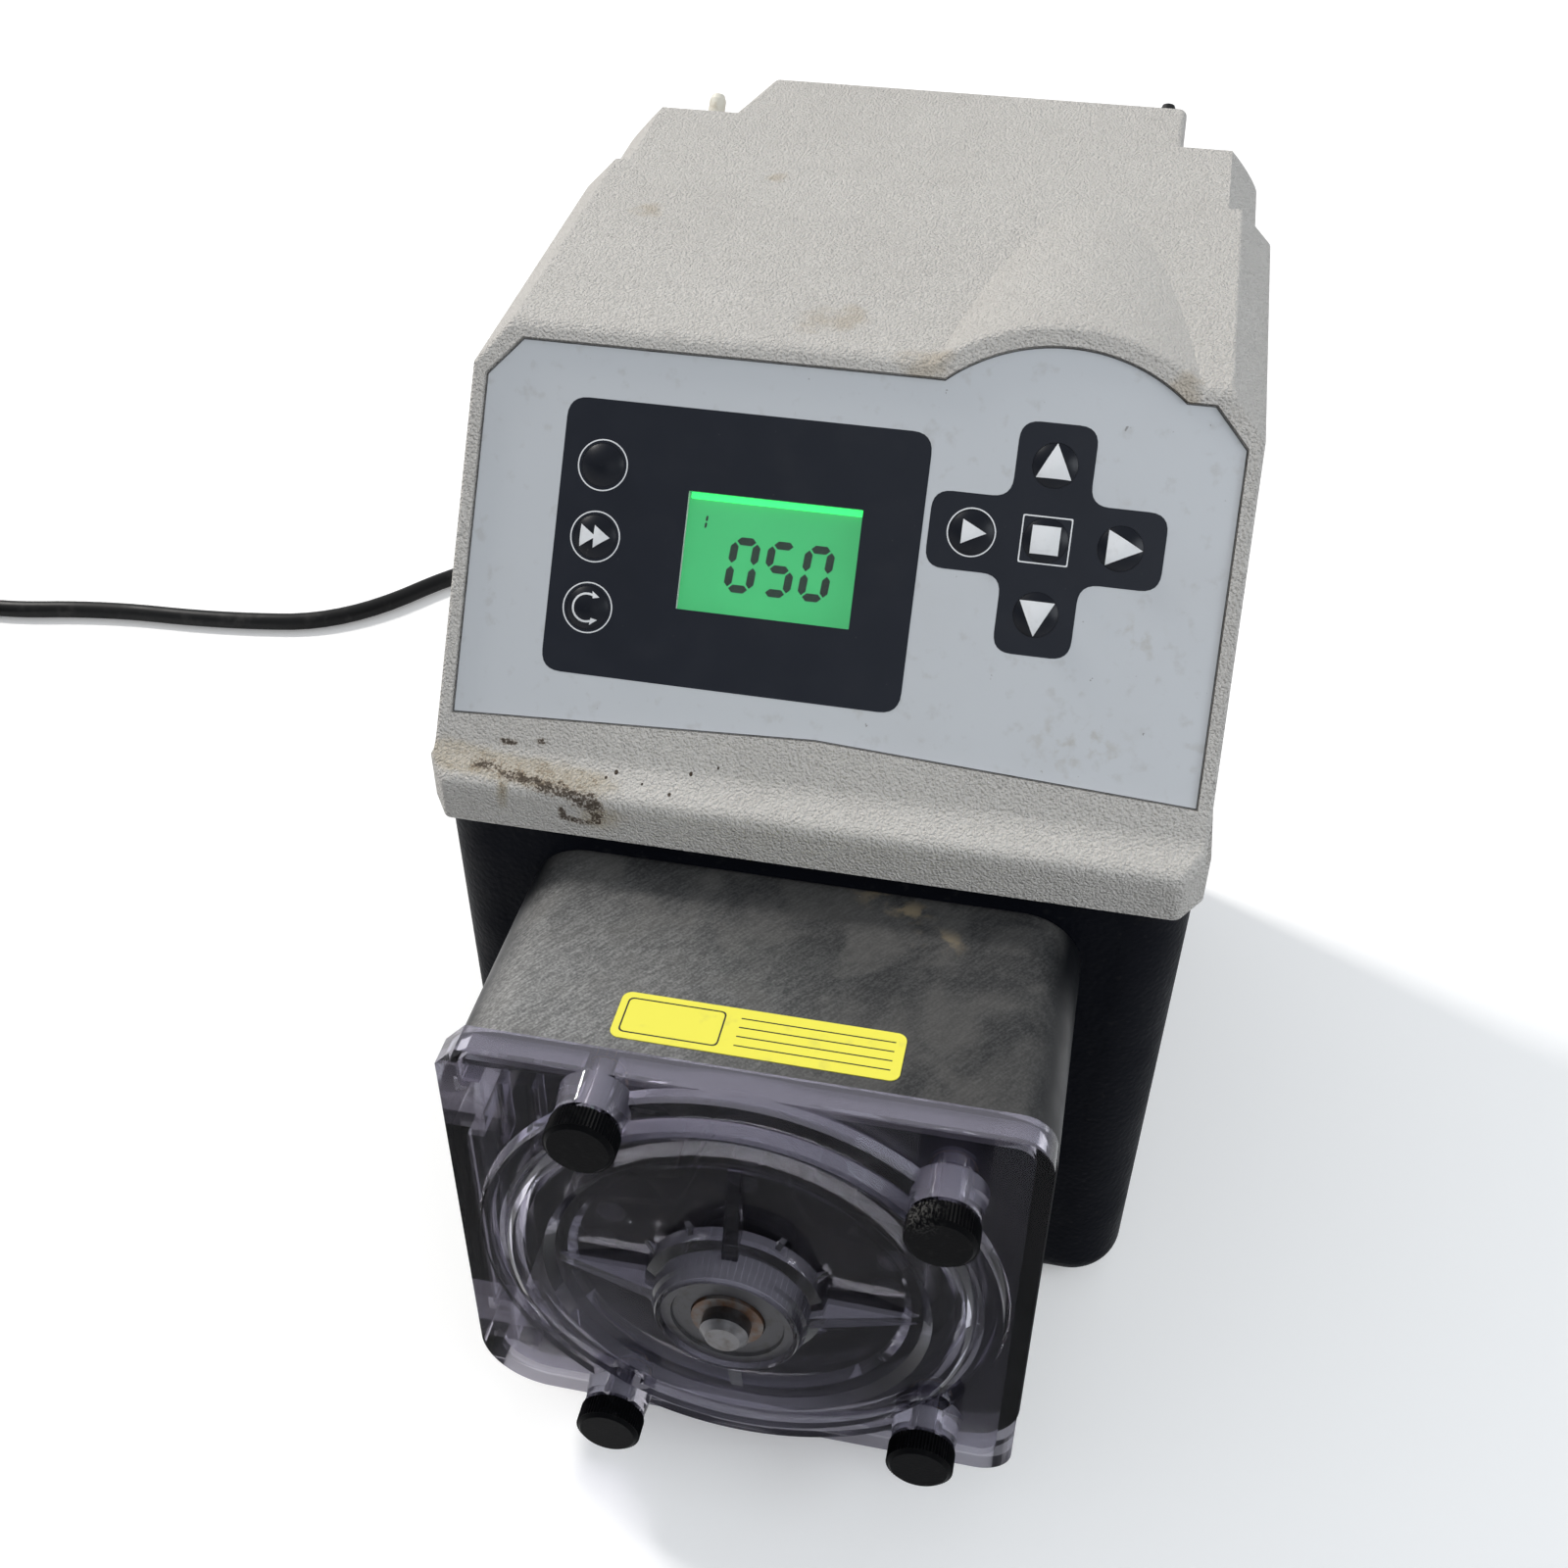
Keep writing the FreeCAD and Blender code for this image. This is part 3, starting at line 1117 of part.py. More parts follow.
def head_cover():
    plate = prism(cover_outline(0), "xz", FACE_Y, HEAD_Y)
    hollow = prism(cover_outline(4.5), "xz", FACE_Y + COVER_WALL, HEAD_Y + 1)
    outer = plate.fuse(turned_y(cover_profile(0), 0, AXIS_Z))
    body = outer.cut([hollow, turned_y(cover_profile(COVER_WALL), 0, AXIS_Z)])
    adds = cover_fins()
    for x, z in cover_screw_places():
        top = FACE_Y - SCREW_BOSS_RISE
        flare = SCREW_BOSS_R + SCREW_BOSS_FLARE
        adds.append(turned_y([(0, FACE_Y + 0.5), (flare, FACE_Y + 0.5), (flare, FACE_Y),
                              (SCREW_BOSS_R, top + 1), (SCREW_BOSS_R, top), (0, top)], x, z))
        adds.append(rod_y(x, z, INNER_BOSS_R, FACE_Y + 0.5, HEAD_Y))
    for z in port_places():
        for inward in PORT_WALLS:
            x = inward - COVER_HALF_W
            adds.append(box(x, x + PORT_WALL_T, FACE_Y + 1, HEAD_Y, z - PORT_R - 1, z + PORT_R + 1))
        ear = box(-COVER_HALF_W, -CHANNEL_X - 2, FACE_Y + 1, HEAD_Y + PORT_BACK - 4,
                  z - PORT_R + PART_GAP, z + PORT_R - PART_GAP)
        adds.append(ear)
    body = body.fuse(adds)
    cuts = [rod_y(x, z, STUD_R + 0.3, FACE_Y - 20, HEAD_Y + 1) for x, z in cover_screw_places()]
    for z in port_places():
        cuts.append(Part.makeCylinder(PORT_R, 30, FreeCAD.Vector(-HEAD_HALF_W - 4, HEAD_Y + PORT_BACK, z),
                                      FreeCAD.Vector(1, 0, 0)))
    hub = FACE_Y - HUB_RISE
    cuts.append(rod_y(0, AXIS_Z, BEARING_R, hub - 1, hub + 1.6 + BEARING_W))
    cuts.append(rod_y(0, AXIS_Z, INNER_RACE_R + 3.4, hub - 1, FACE_Y))
    return body.cut(cuts).removeSplitter()


def cover_bearing_outer():
    """The outer ring of the cover's ball bearing, with its two shields."""
    y0 = FACE_Y - HUB_RISE + 1.6
    y1 = y0 + BEARING_W
    inner = INNER_RACE_R + PART_GAP
    return turned_y([(inner, y0 + 0.8), (BEARING_R - 3, y0 + 0.8), (BEARING_R - 2.6, y0), (BEARING_R, y0),
                     (BEARING_R, y1), (BEARING_R - 2.6, y1), (BEARING_R - 3, y1 - 0.8), (inner, y1 - 0.8),
                     (inner, y1 - 1.6), (BEARING_R - 3, y1 - 1.6), (BEARING_R - 3, y0 + 1.6),
                     (inner, y0 + 1.6)], 0, AXIS_Z)


def cover_bearing_inner():
    y0 = FACE_Y - HUB_RISE + 1.6
    y1 = y0 + BEARING_W
    return turned_y([(SHAFT_R, y0), (INNER_RACE_R, y0), (INNER_RACE_R, y1), (SHAFT_R, y1)], 0, AXIS_Z)


def thumb_screw(x, z):
    """A ridged plastic knob moulded on a steel stud."""
    y1 = FACE_Y - SCREW_BOSS_RISE - PART_GAP
    y0 = y1 - KNOB_LEN
    star = []
    for k in range(2 * KNOB_RIDGES):
        radius = KNOB_R if k % 2 == 0 else KNOB_R - GRIP_DEPTH
        angle = math.pi * k / KNOB_RIDGES
        star.append((x + radius * math.cos(angle), z + radius * math.sin(angle), 0))
    ridged = prism(star, "xz", y0 + 0.9, y1 - 0.9)
    core = turned_y([(0, y0), (KNOB_R - 1.4, y0), (KNOB_R - 0.5, y0 + 0.9), (KNOB_R - 0.5, y1 - 0.9),
                     (KNOB_R - 1.3, y1), (0, y1)], x, z)
    stud = turned_y([(0, y1), (STUD_R, y1), (STUD_R, HEAD_Y + STUD_REACH - 1),
                     (STUD_R - 1, HEAD_Y + STUD_REACH), (0, HEAD_Y + STUD_REACH)], x, z)
    return Part.makeCompound([joined([core, ridged]), stud])


# Rotor

ROTOR_REAR_Y = RACE_FLOOR_Y - ROTOR_BACK
ROLLER_REAR_Y = ROTOR_REAR_Y - ROTOR_PLATE - PART_GAP
ROLLER_FRONT_Y = ROLLER_REAR_Y - ROLLER_LEN
ROTOR_FRONT_Y = ROLLER_FRONT_Y - PART_GAP - ROTOR_PLATE


def rotor_plate_outline():
    """A bow tie: wide ends for the squeeze rollers, waists with small lugs for the guides."""
    wide = SQUEEZE_CENTRE + AXLE_R + 5
    lug = GUIDE_CENTRE + AXLE_R + 3
    right = [(wide, AXIS_Z - 13, 6), (wide, AXIS_Z + 13, 6), (17, AXIS_Z + 19, 8), (9, AXIS_Z + lug, 7),
             (-9, AXIS_Z + lug, 7), (-17, AXIS_Z + 19, 8), (-wide, AXIS_Z + 13, 6), (-wide, AXIS_Z - 13, 6),
             (-17, AXIS_Z - 19, 8), (-9, AXIS_Z - lug, 7), (9, AXIS_Z - lug, 7), (17, AXIS_Z - 19, 8)]
    return right


def axle_places():
    return {"squeeze_roller_right": (SQUEEZE_CENTRE, AXIS_Z),
            "guide_roller_top": (0, AXIS_Z + GUIDE_CENTRE),
            "squeeze_roller_left": (-SQUEEZE_CENTRE, AXIS_Z),
            "guide_roller_bottom": (0, AXIS_Z - GUIDE_CENTRE)}


def rotor():
    """Two plates on a hub that clamps on the drive shaft."""
    rear = prism(rotor_plate_outline(), "xz", ROTOR_REAR_Y - ROTOR_PLATE, ROTOR_REAR_Y)
    front = prism(rotor_plate_outline(), "xz", ROTOR_FRONT_Y, ROTOR_FRONT_Y + ROTOR_PLATE)
    hub = rod_y(0, AXIS_Z, ROTOR_HUB_R, ROTOR_FRONT_Y - 4, ROTOR_REAR_Y)
    body = joined([rear, front, hub])
    cuts = [rod_y(0, AXIS_Z, SHAFT_R, ROTOR_FRONT_Y - 10, ROTOR_REAR_Y + 1)]
    cuts += [rod_y(x, z, AXLE_R, ROTOR_FRONT_Y - 1, ROTOR_REAR_Y + 1) for x, z in axle_places().values()]
    return body.cut(cuts)


def roller_axles():
    pins = []
    for x, z in axle_places().values():
        pins.append(turned_y([(0, ROTOR_FRONT_Y - 1.2), (AXLE_R - 0.8, ROTOR_FRONT_Y - 1.2),
                              (AXLE_R, ROTOR_FRONT_Y - 0.4), (AXLE_R, ROTOR_REAR_Y + 0.4),
                              (AXLE_R - 0.8, ROTOR_REAR_Y + 1.2), (0, ROTOR_REAR_Y + 1.2)], x, z))
    return Part.makeCompound(pins)


def squeeze_roller(x, z):
    y0 = ROLLER_FRONT_Y
    y1 = ROLLER_REAR_Y
    bore = AXLE_R + RUN_GAP
    return turned_y([(bore, y0), (SQUEEZE_R - 2.5, y0), (SQUEEZE_R, y0 + 2.5), (SQUEEZE_R, y1 - 2.5),
                     (SQUEEZE_R - 2.5, y1), (bore, y1)], x, z)


def guide_roller(x, z):
    y0 = ROLLER_FRONT_Y
    y1 = ROLLER_REAR_Y
    bore = AXLE_R + RUN_GAP
    return turned_y([(bore, y0), (GUIDE_FLANGE_R, y0), (GUIDE_FLANGE_R, y0 + 2), (GUIDE_R, y0 + 5),
                     (GUIDE_R, y1 - 5), (GUIDE_FLANGE_R, y1 - 2), (GUIDE_FLANGE_R, y1), (bore, y1)], x, z)


# Signal connectors

def plug_places():
    pitch_left = top_height(REAR_Y) - PLUG_DROP
    pitch_right = top_height(HOOD_Y) - PLUG_DROP
    return [(LEFT_PLUG_X, (REAR_Y, pitch_left)), (RIGHT_PLUG_X, (HOOD_Y, pitch_right))]


def tilted(shape, x, y, z):
    """Stands an upright shape at 45 degrees, leaning back, with its foot at a place."""
    moved = shape.copy()
    turn = FreeCAD.Rotation(FreeCAD.Vector(1, 0, 0), -45)
    moved.Placement = FreeCAD.Placement(FreeCAD.Vector(x, y, z), turn).multiply(moved.Placement)
    return moved


def socket_bore(x, place):
    y, z = place
    return tilted(Part.makeCylinder(3.4, 14, FreeCAD.Vector(0, 0, -9)), x, y, z)


def connector_socket(x, place):
    """An angled threaded socket on the rear wall."""
    y, z = place
    flange = turned_z([(0, -1.5), (PLUG_R, -1.5), (PLUG_R, 6), (PLUG_R - 1, 7), (0, 7)], 0, 0)
    stem = rod_z(0, 0, 3.3, -8, 0)
    wall = box(-PLUG_R - 1, PLUG_R + 1, -30, 0, -30, 30)
    solid = tilted(flange, x, y, z)
    wall.translate(FreeCAD.Vector(x, y, z))
    return solid.cut(wall).fuse(tilted(stem, x, y, z)).removeSplitter()


def connector_sockets():
    return Part.makeCompound([connector_socket(x, place) for x, place in plug_places()])


def connector_cap(x, place, length):
    """A dust cap screwed on a socket, ending in a small round nipple."""
    y, z = place
    body = turned_z([(0, 7), (PLUG_R - 0.6, 7), (PLUG_R - 0.6, 14), (PLUG_R - 1.6, 15.5), (2.7, 16.5),
                     (2.7, length + 2.8), (2.0, length + 4.6), (0, length + 5.4)], 0, 0)
    return tilted(body, x, y, z)


# Power cord

def cord_gland():
    y = REAR_Y
    outer = turned_y([(0, y - WALL - 4), (GLAND_R - 2.4, y - WALL - 4), (GLAND_R - 2.4, y), (GLAND_R, y),
                      (GLAND_R, y + 6), (GLAND_R - 1.5, y + 8), (0, y + 8)], GLAND_X, GLAND_Z)
    body = outer.cut(rod_y(GLAND_X, GLAND_Z, CORD_R + 1.2, y - 20, y + 20))
    return Part.makeCompound([body, gland_nut()])


def gland_nut():
    y = REAR_Y - WALL - 3.6
    nut = prism(hexagon(GLAND_X, GLAND_Z, GLAND_R + 1.5, 30), "xz", y, REAR_Y - WALL)
    return nut.cut(rod_y(GLAND_X, GLAND_Z, GLAND_R - 2.4, y - 1, REAR_Y))


def strain_relief():
    """A tapered rubber sleeve from the gland along the cord."""
    y0 = REAR_Y - WALL - 4
    y1 = REAR_Y + 8
    y2 = y1 + RELIEF_LEN
    sleeve = turned_y([(0, y0), (CORD_R + 1.15, y0), (CORD_R + 1.15, y1), (CORD_R + 3.6, y1),
                       (CORD_R + 1.2, y2), (0, y2)], GLAND_X, GLAND_Z)
    grooves = []
    for k in range(4):
        y = y1 + 6 + 6 * k
        grooves.append(turned_y([(CORD_R + 1.6, y), (CORD_R + 8, y), (CORD_R + 8, y + 2),
                                 (CORD_R + 1.6, y + 2)], GLAND_X, GLAND_Z))
    return sleeve.cut(grooves)


def cord_points():
    """The cord's way: out of the relief, down to the floor behind, then off to the left."""
    y = REAR_Y + 8 + RELIEF_LEN
    return [(GLAND_X, y, GLAND_Z), (GLAND_X, y + 34, GLAND_Z - 2), (GLAND_X - 3, y + 68, 22),
            (GLAND_X - 22, y + 100, 6), (-126, 296, 4.2),
            (-180, 300, 4.2), (-232, 276, 4.2), (-276, 214, 4.2), (-334, 203, 4.2), (-392, 201, 4.2),
            (-446, 188, 4.2), (COIL_X, COIL_Y + COIL_MEAN_R + COIL_HALF_W / 2, 4.2)]


def cord_path(points):
    """Straight runs joined by tangent arcs, as large as the runs allow."""
    corners = [FreeCAD.Vector(*p) for p in points]
    edges = []
    radii = []
    here = corners[0]
    for i in range(1, len(corners) - 1):
        back = corners[i - 1] - corners[i]
        ahead = corners[i + 1] - corners[i]
        reach = 0.45 * min(back.Length, ahead.Length)
        turn = math.pi - back.getAngle(ahead)
        radius = reach / math.tan(turn / 2)
        radii.append(round(radius, 1))
        back.normalize()
        ahead.normalize()
        start = corners[i] + back * reach
        end = corners[i] + ahead * reach
        inward = (back + ahead).normalize()
        middle = corners[i] + inward * (math.hypot(radius, reach) - radius)
        edges.append(Part.LineSegment(here, start).toShape())
        edges.append(Part.Arc(start, middle, end).toShape())
        here = end
    edges.append(Part.LineSegment(here, corners[-1]).toShape())
    return Part.Wire(edges), radii


def power_cord():
    points = cord_points()
    path, radii = cord_path(points)
    start = FreeCAD.Vector(*points[0])
    ahead = FreeCAD.Vector(*points[1]) - start
    circle = Part.Wire(Part.makeCircle(CORD_R, start, ahead))
    tube = path.makePipeShell([circle], True, True)
    expected = math.pi * CORD_R ** 2 * path.Length
    print("cord length", round(path.Length, 1), "radii", radii)
    print("cord volume", round(tube.Volume), "section times length", round(expected))
    return tube


def cord_coil():
    """The outer shape of the put-away turns."""
    inner = COIL_MEAN_R - COIL_HALF_W
    outer = COIL_MEAN_R + COIL_HALF_W
    ease = 3.0
    return turned_z([(inner, COIL_BOTTOM + ease), (inner + ease, COIL_BOTTOM), (outer - ease, COIL_BOTTOM),
                     (outer, COIL_BOTTOM + ease), (outer, COIL_TOP - ease), (outer - ease, COIL_TOP),
                     (inner + ease, COIL_TOP), (inner, COIL_TOP - ease)], COIL_X, COIL_Y)


def cord_tie():
    """A band round the coil's right side."""
    x0 = COIL_X + COIL_MEAN_R - COIL_HALF_W - TIE_T
    x1 = COIL_X + COIL_MEAN_R + COIL_HALF_W + TIE_T
    band = box(x0, x1, COIL_Y - TIE_W / 2, COIL_Y + TIE_W / 2, 0, COIL_TOP + TIE_T)
    return band.cut(cord_coil())


def plug_body():
    """A moulded plug beside the coil, with its tapered neck starting at the outer turn."""
    x = COIL_X - COIL_MEAN_R - COIL_HALF_W / 2
    y0 = COIL_Y - PLUG_NECK
    neck = Part.makeCone(CORD_R + 0.4, CORD_R + 2.6, PLUG_NECK, FreeCAD.Vector(x, COIL_Y, PLUG_Z),
                         FreeCAD.Vector(0, -1, 0))
    corners = rectangle(x - PLUG_HALF_W, x + PLUG_HALF_W, PLUG_Z - PLUG_HALF_T, PLUG_Z + PLUG_HALF_T, 7)
    body = prism(corners, "xz", y0 - PLUG_BODY, y0 + 1)
    body = body.makeChamfer(2.0, [edge for edge in body.Edges if edge.BoundBox.YMin > y0 + 0.9])
    return joined([neck, body])


def plug_pins():
    x = COIL_X - COIL_MEAN_R - COIL_HALF_W / 2
    y1 = COIL_Y - PLUG_NECK - PLUG_BODY
    thick, wide, long = BLADE
    pins = []
    for side in (-1, 1):
        a = x + side * BLADE_SPACING / 2
        z = PLUG_Z + 3.0
        pins.append(box(a - thick / 2, a + thick / 2, y1 - long, y1, z - wide / 2, z + wide / 2))
    pins.append(rod_y(x, PLUG_Z - 6.0, EARTH_PIN_R, y1 - long - 2, y1))
    return Part.makeCompound(pins)


def main():
    os.makedirs("parts", exist_ok=True)
    nodes = {
        "lower_housing": lower_housing(), "housing_gasket": housing_gasket(),
        "housing_screws": housing_screws(), "rubber_feet": rubber_feet(),
        "upper_housing": upper_housing(), "front_overlay": front_overlay(),
        "display_window": display_window(), "display_module": display_module(),
        "display_glass": display_glass(), "control_board": control_board(),
        "tact_switches": tact_switches(), "connector_sockets": connector_sockets(),
        "motor_bracket": motor_bracket(), "gearbox_case": gearbox_case(), "gearbox_lid": gearbox_lid(),
        "gearbox_screws": gearbox_screws(), "shaft_bearings": shaft_bearings(),
        "output_gear": output_gear(), "middle_gear": middle_gear(), "motor_pinion": motor_pinion(),
        "motor_can": motor_can(), "motor_end_cap": motor_end_cap(), "power_board": power_board(),
        "drive_shaft": drive_shaft(), "pump_head": pump_head(), "leak_sensor_pins": leak_sensor_pins(),
        "head_screws": head_screws(), "thread_inserts": thread_inserts(), "shaft_seal": shaft_seal(),
        "head_label": head_label(), "head_cover": head_cover(),
        "cover_bearing_outer": cover_bearing_outer(), "cover_bearing_inner": cover_bearing_inner(),
        "rotor": rotor(), "roller_axles": roller_axles(), "cord_gland": cord_gland(),
        "cord_strain_relief": strain_relief(), "power_cord": power_cord(),
        "power_cord_coil": cord_coil(), "cord_tie": cord_tie(), "plug_body": plug_body(),
        "plug_pins": plug_pins(),
    }
    for name, place in key_places().items():
        nodes[name] = button(place)
    for name, (x, z) in axle_places().items():
        maker = squeeze_roller if name.startswith("squeeze") else guide_roller
        nodes[name] = maker(x, z)
    for number, (x, z) in enumerate(cover_screw_places(), 1):
        nodes["thumb_screw_%d" % number] = thumb_screw(x, z)
    for side, (x, place), length in zip(("left", "right"), plug_places(), CAP_LENGTHS):
        nodes["connector_cap_%s" % side] = connector_cap(x, place, length)
    for name, shape in nodes.items():
        if not shape.isValid():
            print("not valid", name)
        shape.exportStep("parts/%s.step" % name)
    print(len(nodes), "nodes")


main()
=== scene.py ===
# %% [markdown]
# A bench metering pump, dressed for its picture
#
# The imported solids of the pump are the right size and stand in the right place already.
# This lesson gives them their camera and light, lays the mains lead, prints the control panel and
# mixes a finish for every piece. All lengths are in metres, and X is to the right, Y goes back.

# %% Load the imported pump
import bmesh
import bpy
import math
import numpy as np
from mathutils import Matrix, Vector


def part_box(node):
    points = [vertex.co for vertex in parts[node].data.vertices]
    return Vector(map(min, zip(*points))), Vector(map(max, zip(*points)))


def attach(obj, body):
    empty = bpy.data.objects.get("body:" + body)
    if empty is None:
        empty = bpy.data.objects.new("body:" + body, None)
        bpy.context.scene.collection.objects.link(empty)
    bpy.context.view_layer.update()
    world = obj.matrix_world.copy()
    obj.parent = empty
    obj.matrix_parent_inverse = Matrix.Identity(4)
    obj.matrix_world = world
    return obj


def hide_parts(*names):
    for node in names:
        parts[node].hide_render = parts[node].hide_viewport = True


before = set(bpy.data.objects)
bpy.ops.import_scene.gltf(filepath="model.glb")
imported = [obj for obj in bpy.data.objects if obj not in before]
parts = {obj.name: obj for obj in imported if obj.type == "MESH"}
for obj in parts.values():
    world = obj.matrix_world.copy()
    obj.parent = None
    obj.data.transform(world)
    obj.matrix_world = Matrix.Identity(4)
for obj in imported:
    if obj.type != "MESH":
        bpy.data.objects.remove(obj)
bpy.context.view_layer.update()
MM = 0.001

# %% [markdown]
# The camera
#
# The pump was photographed from the front, a little to the right and well above it. A camera can be
# aimed with a constraint, but a place and three turns say the same in numbers that can be checked:
# a turn to the left about Z, a tilt down, and a very small roll. Its lens gives a square picture
# 47 degrees wide.

# %% Stand the camera where the photographer stood
CAMERA_PLACE = Vector((66.33, -432.25, 481.62)) * MM
CAMERA_HEADING = math.radians(11.524)
CAMERA_DOWN = math.radians(39.266)
CAMERA_ROLL = math.radians(0.37)
CAMERA_LENS = 41.338

camera_data = bpy.data.cameras.new("camera")
camera_data.lens = CAMERA_LENS
camera_data.sensor_width = 36.0
camera_data.clip_start = 0.01
camera = bpy.data.objects.new("camera", camera_data)
camera.matrix_world = (Matrix.Translation(CAMERA_PLACE)
                       @ Matrix.Rotation(CAMERA_HEADING, 4, "Z")
                       @ Matrix.Rotation(math.pi / 2 - CAMERA_DOWN, 4, "X")
                       @ Matrix.Rotation(CAMERA_ROLL, 4, "Z"))
bpy.context.scene.collection.objects.link(camera)
bpy.context.scene.camera = camera
print("camera at", tuple(round(value, 3) for value in CAMERA_PLACE))

# %% [markdown]
# Sky, floor and background
#
# The pump is lit by a soft sky that is brightest overhead and a little brighter to the left. A sky
# could be a picture wrapped round the scene, but two ramps on the height of the direction are enough:
# one for the sky overhead, and one for a white band round the horizon, which is the background in
# low views. The floor is white where it is looked at, straight, in a gloss or through a pane, and a
# light path node tells those rays from the rest. To all other rays it is a plain grey ground, so
# that it doesn't light the pump from below. Far off it turns fully white for the camera, so that no
# edge shows between the floor and the background.

# %% Helpers for shading nodes
def wire(tree, source, socket):
    """Puts a value or another node's output into a socket."""
    if isinstance(source, bpy.types.NodeSocket):
        tree.links.new(source, socket)
    else:
        socket.default_value = source


def add_node(tree, kind, inputs, **options):
    """Adds a node, sets its options, fills its inputs with values or outputs, and gives its outputs."""
    made = tree.nodes.new("ShaderNode" + kind)
    for option, choice in options.items():
        setattr(made, option, choice)
    for socket, source in inputs.items():
        wire(tree, source, made.inputs[socket])
    return made.outputs


def maths(tree, operation, first, second):
    """Two numbers added, multiplied or compared."""
    return add_node(tree, "Math", {0: first, 1: second}, operation=operation)[0]


def soft_ramp(tree, value, low, high, first=0.0, last=1.0):
    """Goes from first, where the value is low, to last, where it is high, in a soft step."""
    limits = {"Value": value, "From Min": low, "From Max": high, "To Min": first, "To Max": last}
    return add_node(tree, "MapRange", limits, interpolation_type="SMOOTHSTEP")[0]


print("node helpers are ready")

# %% A sky of two ramps
SKY_LIGHT = 0.62
SKY_LOW = 0.22
SKY_RISE = (0.1, 1.0)
SKY_TO_LEFT = 0.15
SKY_TINT = (0.93, 0.965, 1.0)
WHITE_BAND = (0.08, 0.36)

world = bpy.data.worlds.new("studio")
world.use_nodes = True
bpy.context.scene.world = world
sky = world.node_tree
toward = add_node(sky, "SeparateXYZ", {0: add_node(sky, "TexCoord", {})["Generated"]})
leftness = maths(sky, "ADD", maths(sky, "MULTIPLY", toward[0], -SKY_TO_LEFT), 1.0)
rising = soft_ramp(sky, toward[2], *SKY_RISE, SKY_LOW, SKY_LIGHT)
overhead = maths(sky, "MULTIPLY", rising, leftness)
horizon = soft_ramp(sky, toward[2], *WHITE_BAND, 1.0, 0.0)
sky_light = sky.nodes["Background"]
wire(sky, (*SKY_TINT, 1), sky_light.inputs["Color"])
wire(sky, maths(sky, "MAXIMUM", overhead, horizon), sky_light.inputs["Strength"])
bpy.context.scene.view_settings.view_transform = "Standard"
print("sky overhead", SKY_LIGHT, "low", SKY_LOW)

# %% The floor
FLOOR_HALF = 6.0
FLOOR_WHITE = (0.86, 0.86, 0.86)
FLOOR_GLOW = 0.24
GROUND_GREY = (0.20, 0.20, 0.20)
WHITE_FROM = (1.2, 3.0)

floor_mesh = bpy.data.meshes.new("floor")
floor_corners = np.array([(-1, -1, 0), (1, -1, 0), (1, 1, 0), (-1, 1, 0)]) * FLOOR_HALF
floor_mesh.from_pydata(floor_corners.tolist(), [], [(0, 1, 2, 3)])
floor = bpy.data.objects.new("floor", floor_mesh)
bpy.context.scene.collection.objects.link(floor)
pale = bpy.data.materials.new("pale_floor")
pale.use_nodes = True
pale_tree = pale.node_tree
ray = add_node(pale_tree, "LightPath", {})
looked_at = maths(pale_tree, "MAXIMUM", ray["Is Glossy Ray"], ray["Is Transmission Ray"])
looked_at = maths(pale_tree, "MAXIMUM", ray["Is Camera Ray"], looked_at)
floor_place = add_node(pale_tree, "TexCoord", {})["Object"]
away = add_node(pale_tree, "VectorMath", {0: floor_place}, operation="LENGTH")["Value"]
far_white = soft_ramp(pale_tree, away, *WHITE_FROM, 0.0, 1.0 - FLOOR_GLOW)
far_white = maths(pale_tree, "MULTIPLY", ray["Is Camera Ray"], far_white)
pale_shader = pale_tree.nodes["Principled BSDF"]
for socket, source in (("Base Color", (*FLOOR_WHITE, 1)), ("Roughness", 0.9),
                       ("Specular IOR Level", 0.1), ("Emission Color", (1, 1, 1, 1)),
                       ("Emission Strength", maths(pale_tree, "ADD", far_white, FLOOR_GLOW))):
    wire(pale_tree, source, pale_shader.inputs[socket])
ground = add_node(pale_tree, "BsdfDiffuse", {"Color": (*GROUND_GREY, 1)})[0]
pale_pick = add_node(pale_tree, "MixShader", {0: looked_at, 1: ground, 2: pale_shader.outputs[0]})
wire(pale_tree, pale_pick[0], pale_tree.nodes["Material Output"].inputs["Surface"])
floor_mesh.materials.append(pale)
print("floor half width", FLOOR_HALF)

# %% [markdown]
# Lamps
#
# The strongest lamp stands high on the left, behind the pump, so that the top and the left edges are
# brightest and the coat shows its grain. A broad cool lamp in front and a smaller one on the right
# fill the fronts. Each lamp is a place, a size, a power and a colour.

# %% Three lamps
LAMPS = (
    ("left_lamp", (-1.95, 1.00, 2.10), 0.40, 66.0, (1.0, 0.970, 0.930)),
    ("front_lamp", (0.50, -1.45, 1.20), 1.0, 2.3, (0.90, 0.95, 1.0)),
    ("right_lamp", (1.05, -0.40, 0.85), 0.6, 5.8, (0.90, 0.95, 1.0)),
)
LAMP_AIM = Vector((0.0, 0.0, 0.12))
for lamp_name, lamp_place, lamp_width, lamp_power, lamp_colour in LAMPS:
    lamp_data = bpy.data.lights.new(lamp_name, "AREA")
    lamp_data.shape = "SQUARE"
    lamp_data.size = lamp_width
    lamp_data.energy = lamp_power
    lamp_data.color = lamp_colour
    lamp = bpy.data.objects.new(lamp_name, lamp_data)
    lamp.location = lamp_place
    lamp.rotation_euler = (LAMP_AIM - Vector(lamp_place)).to_track_quat("-Z", "Y").to_euler()
    bpy.context.scene.collection.objects.link(lamp)
print("lamps:", len(LAMPS))
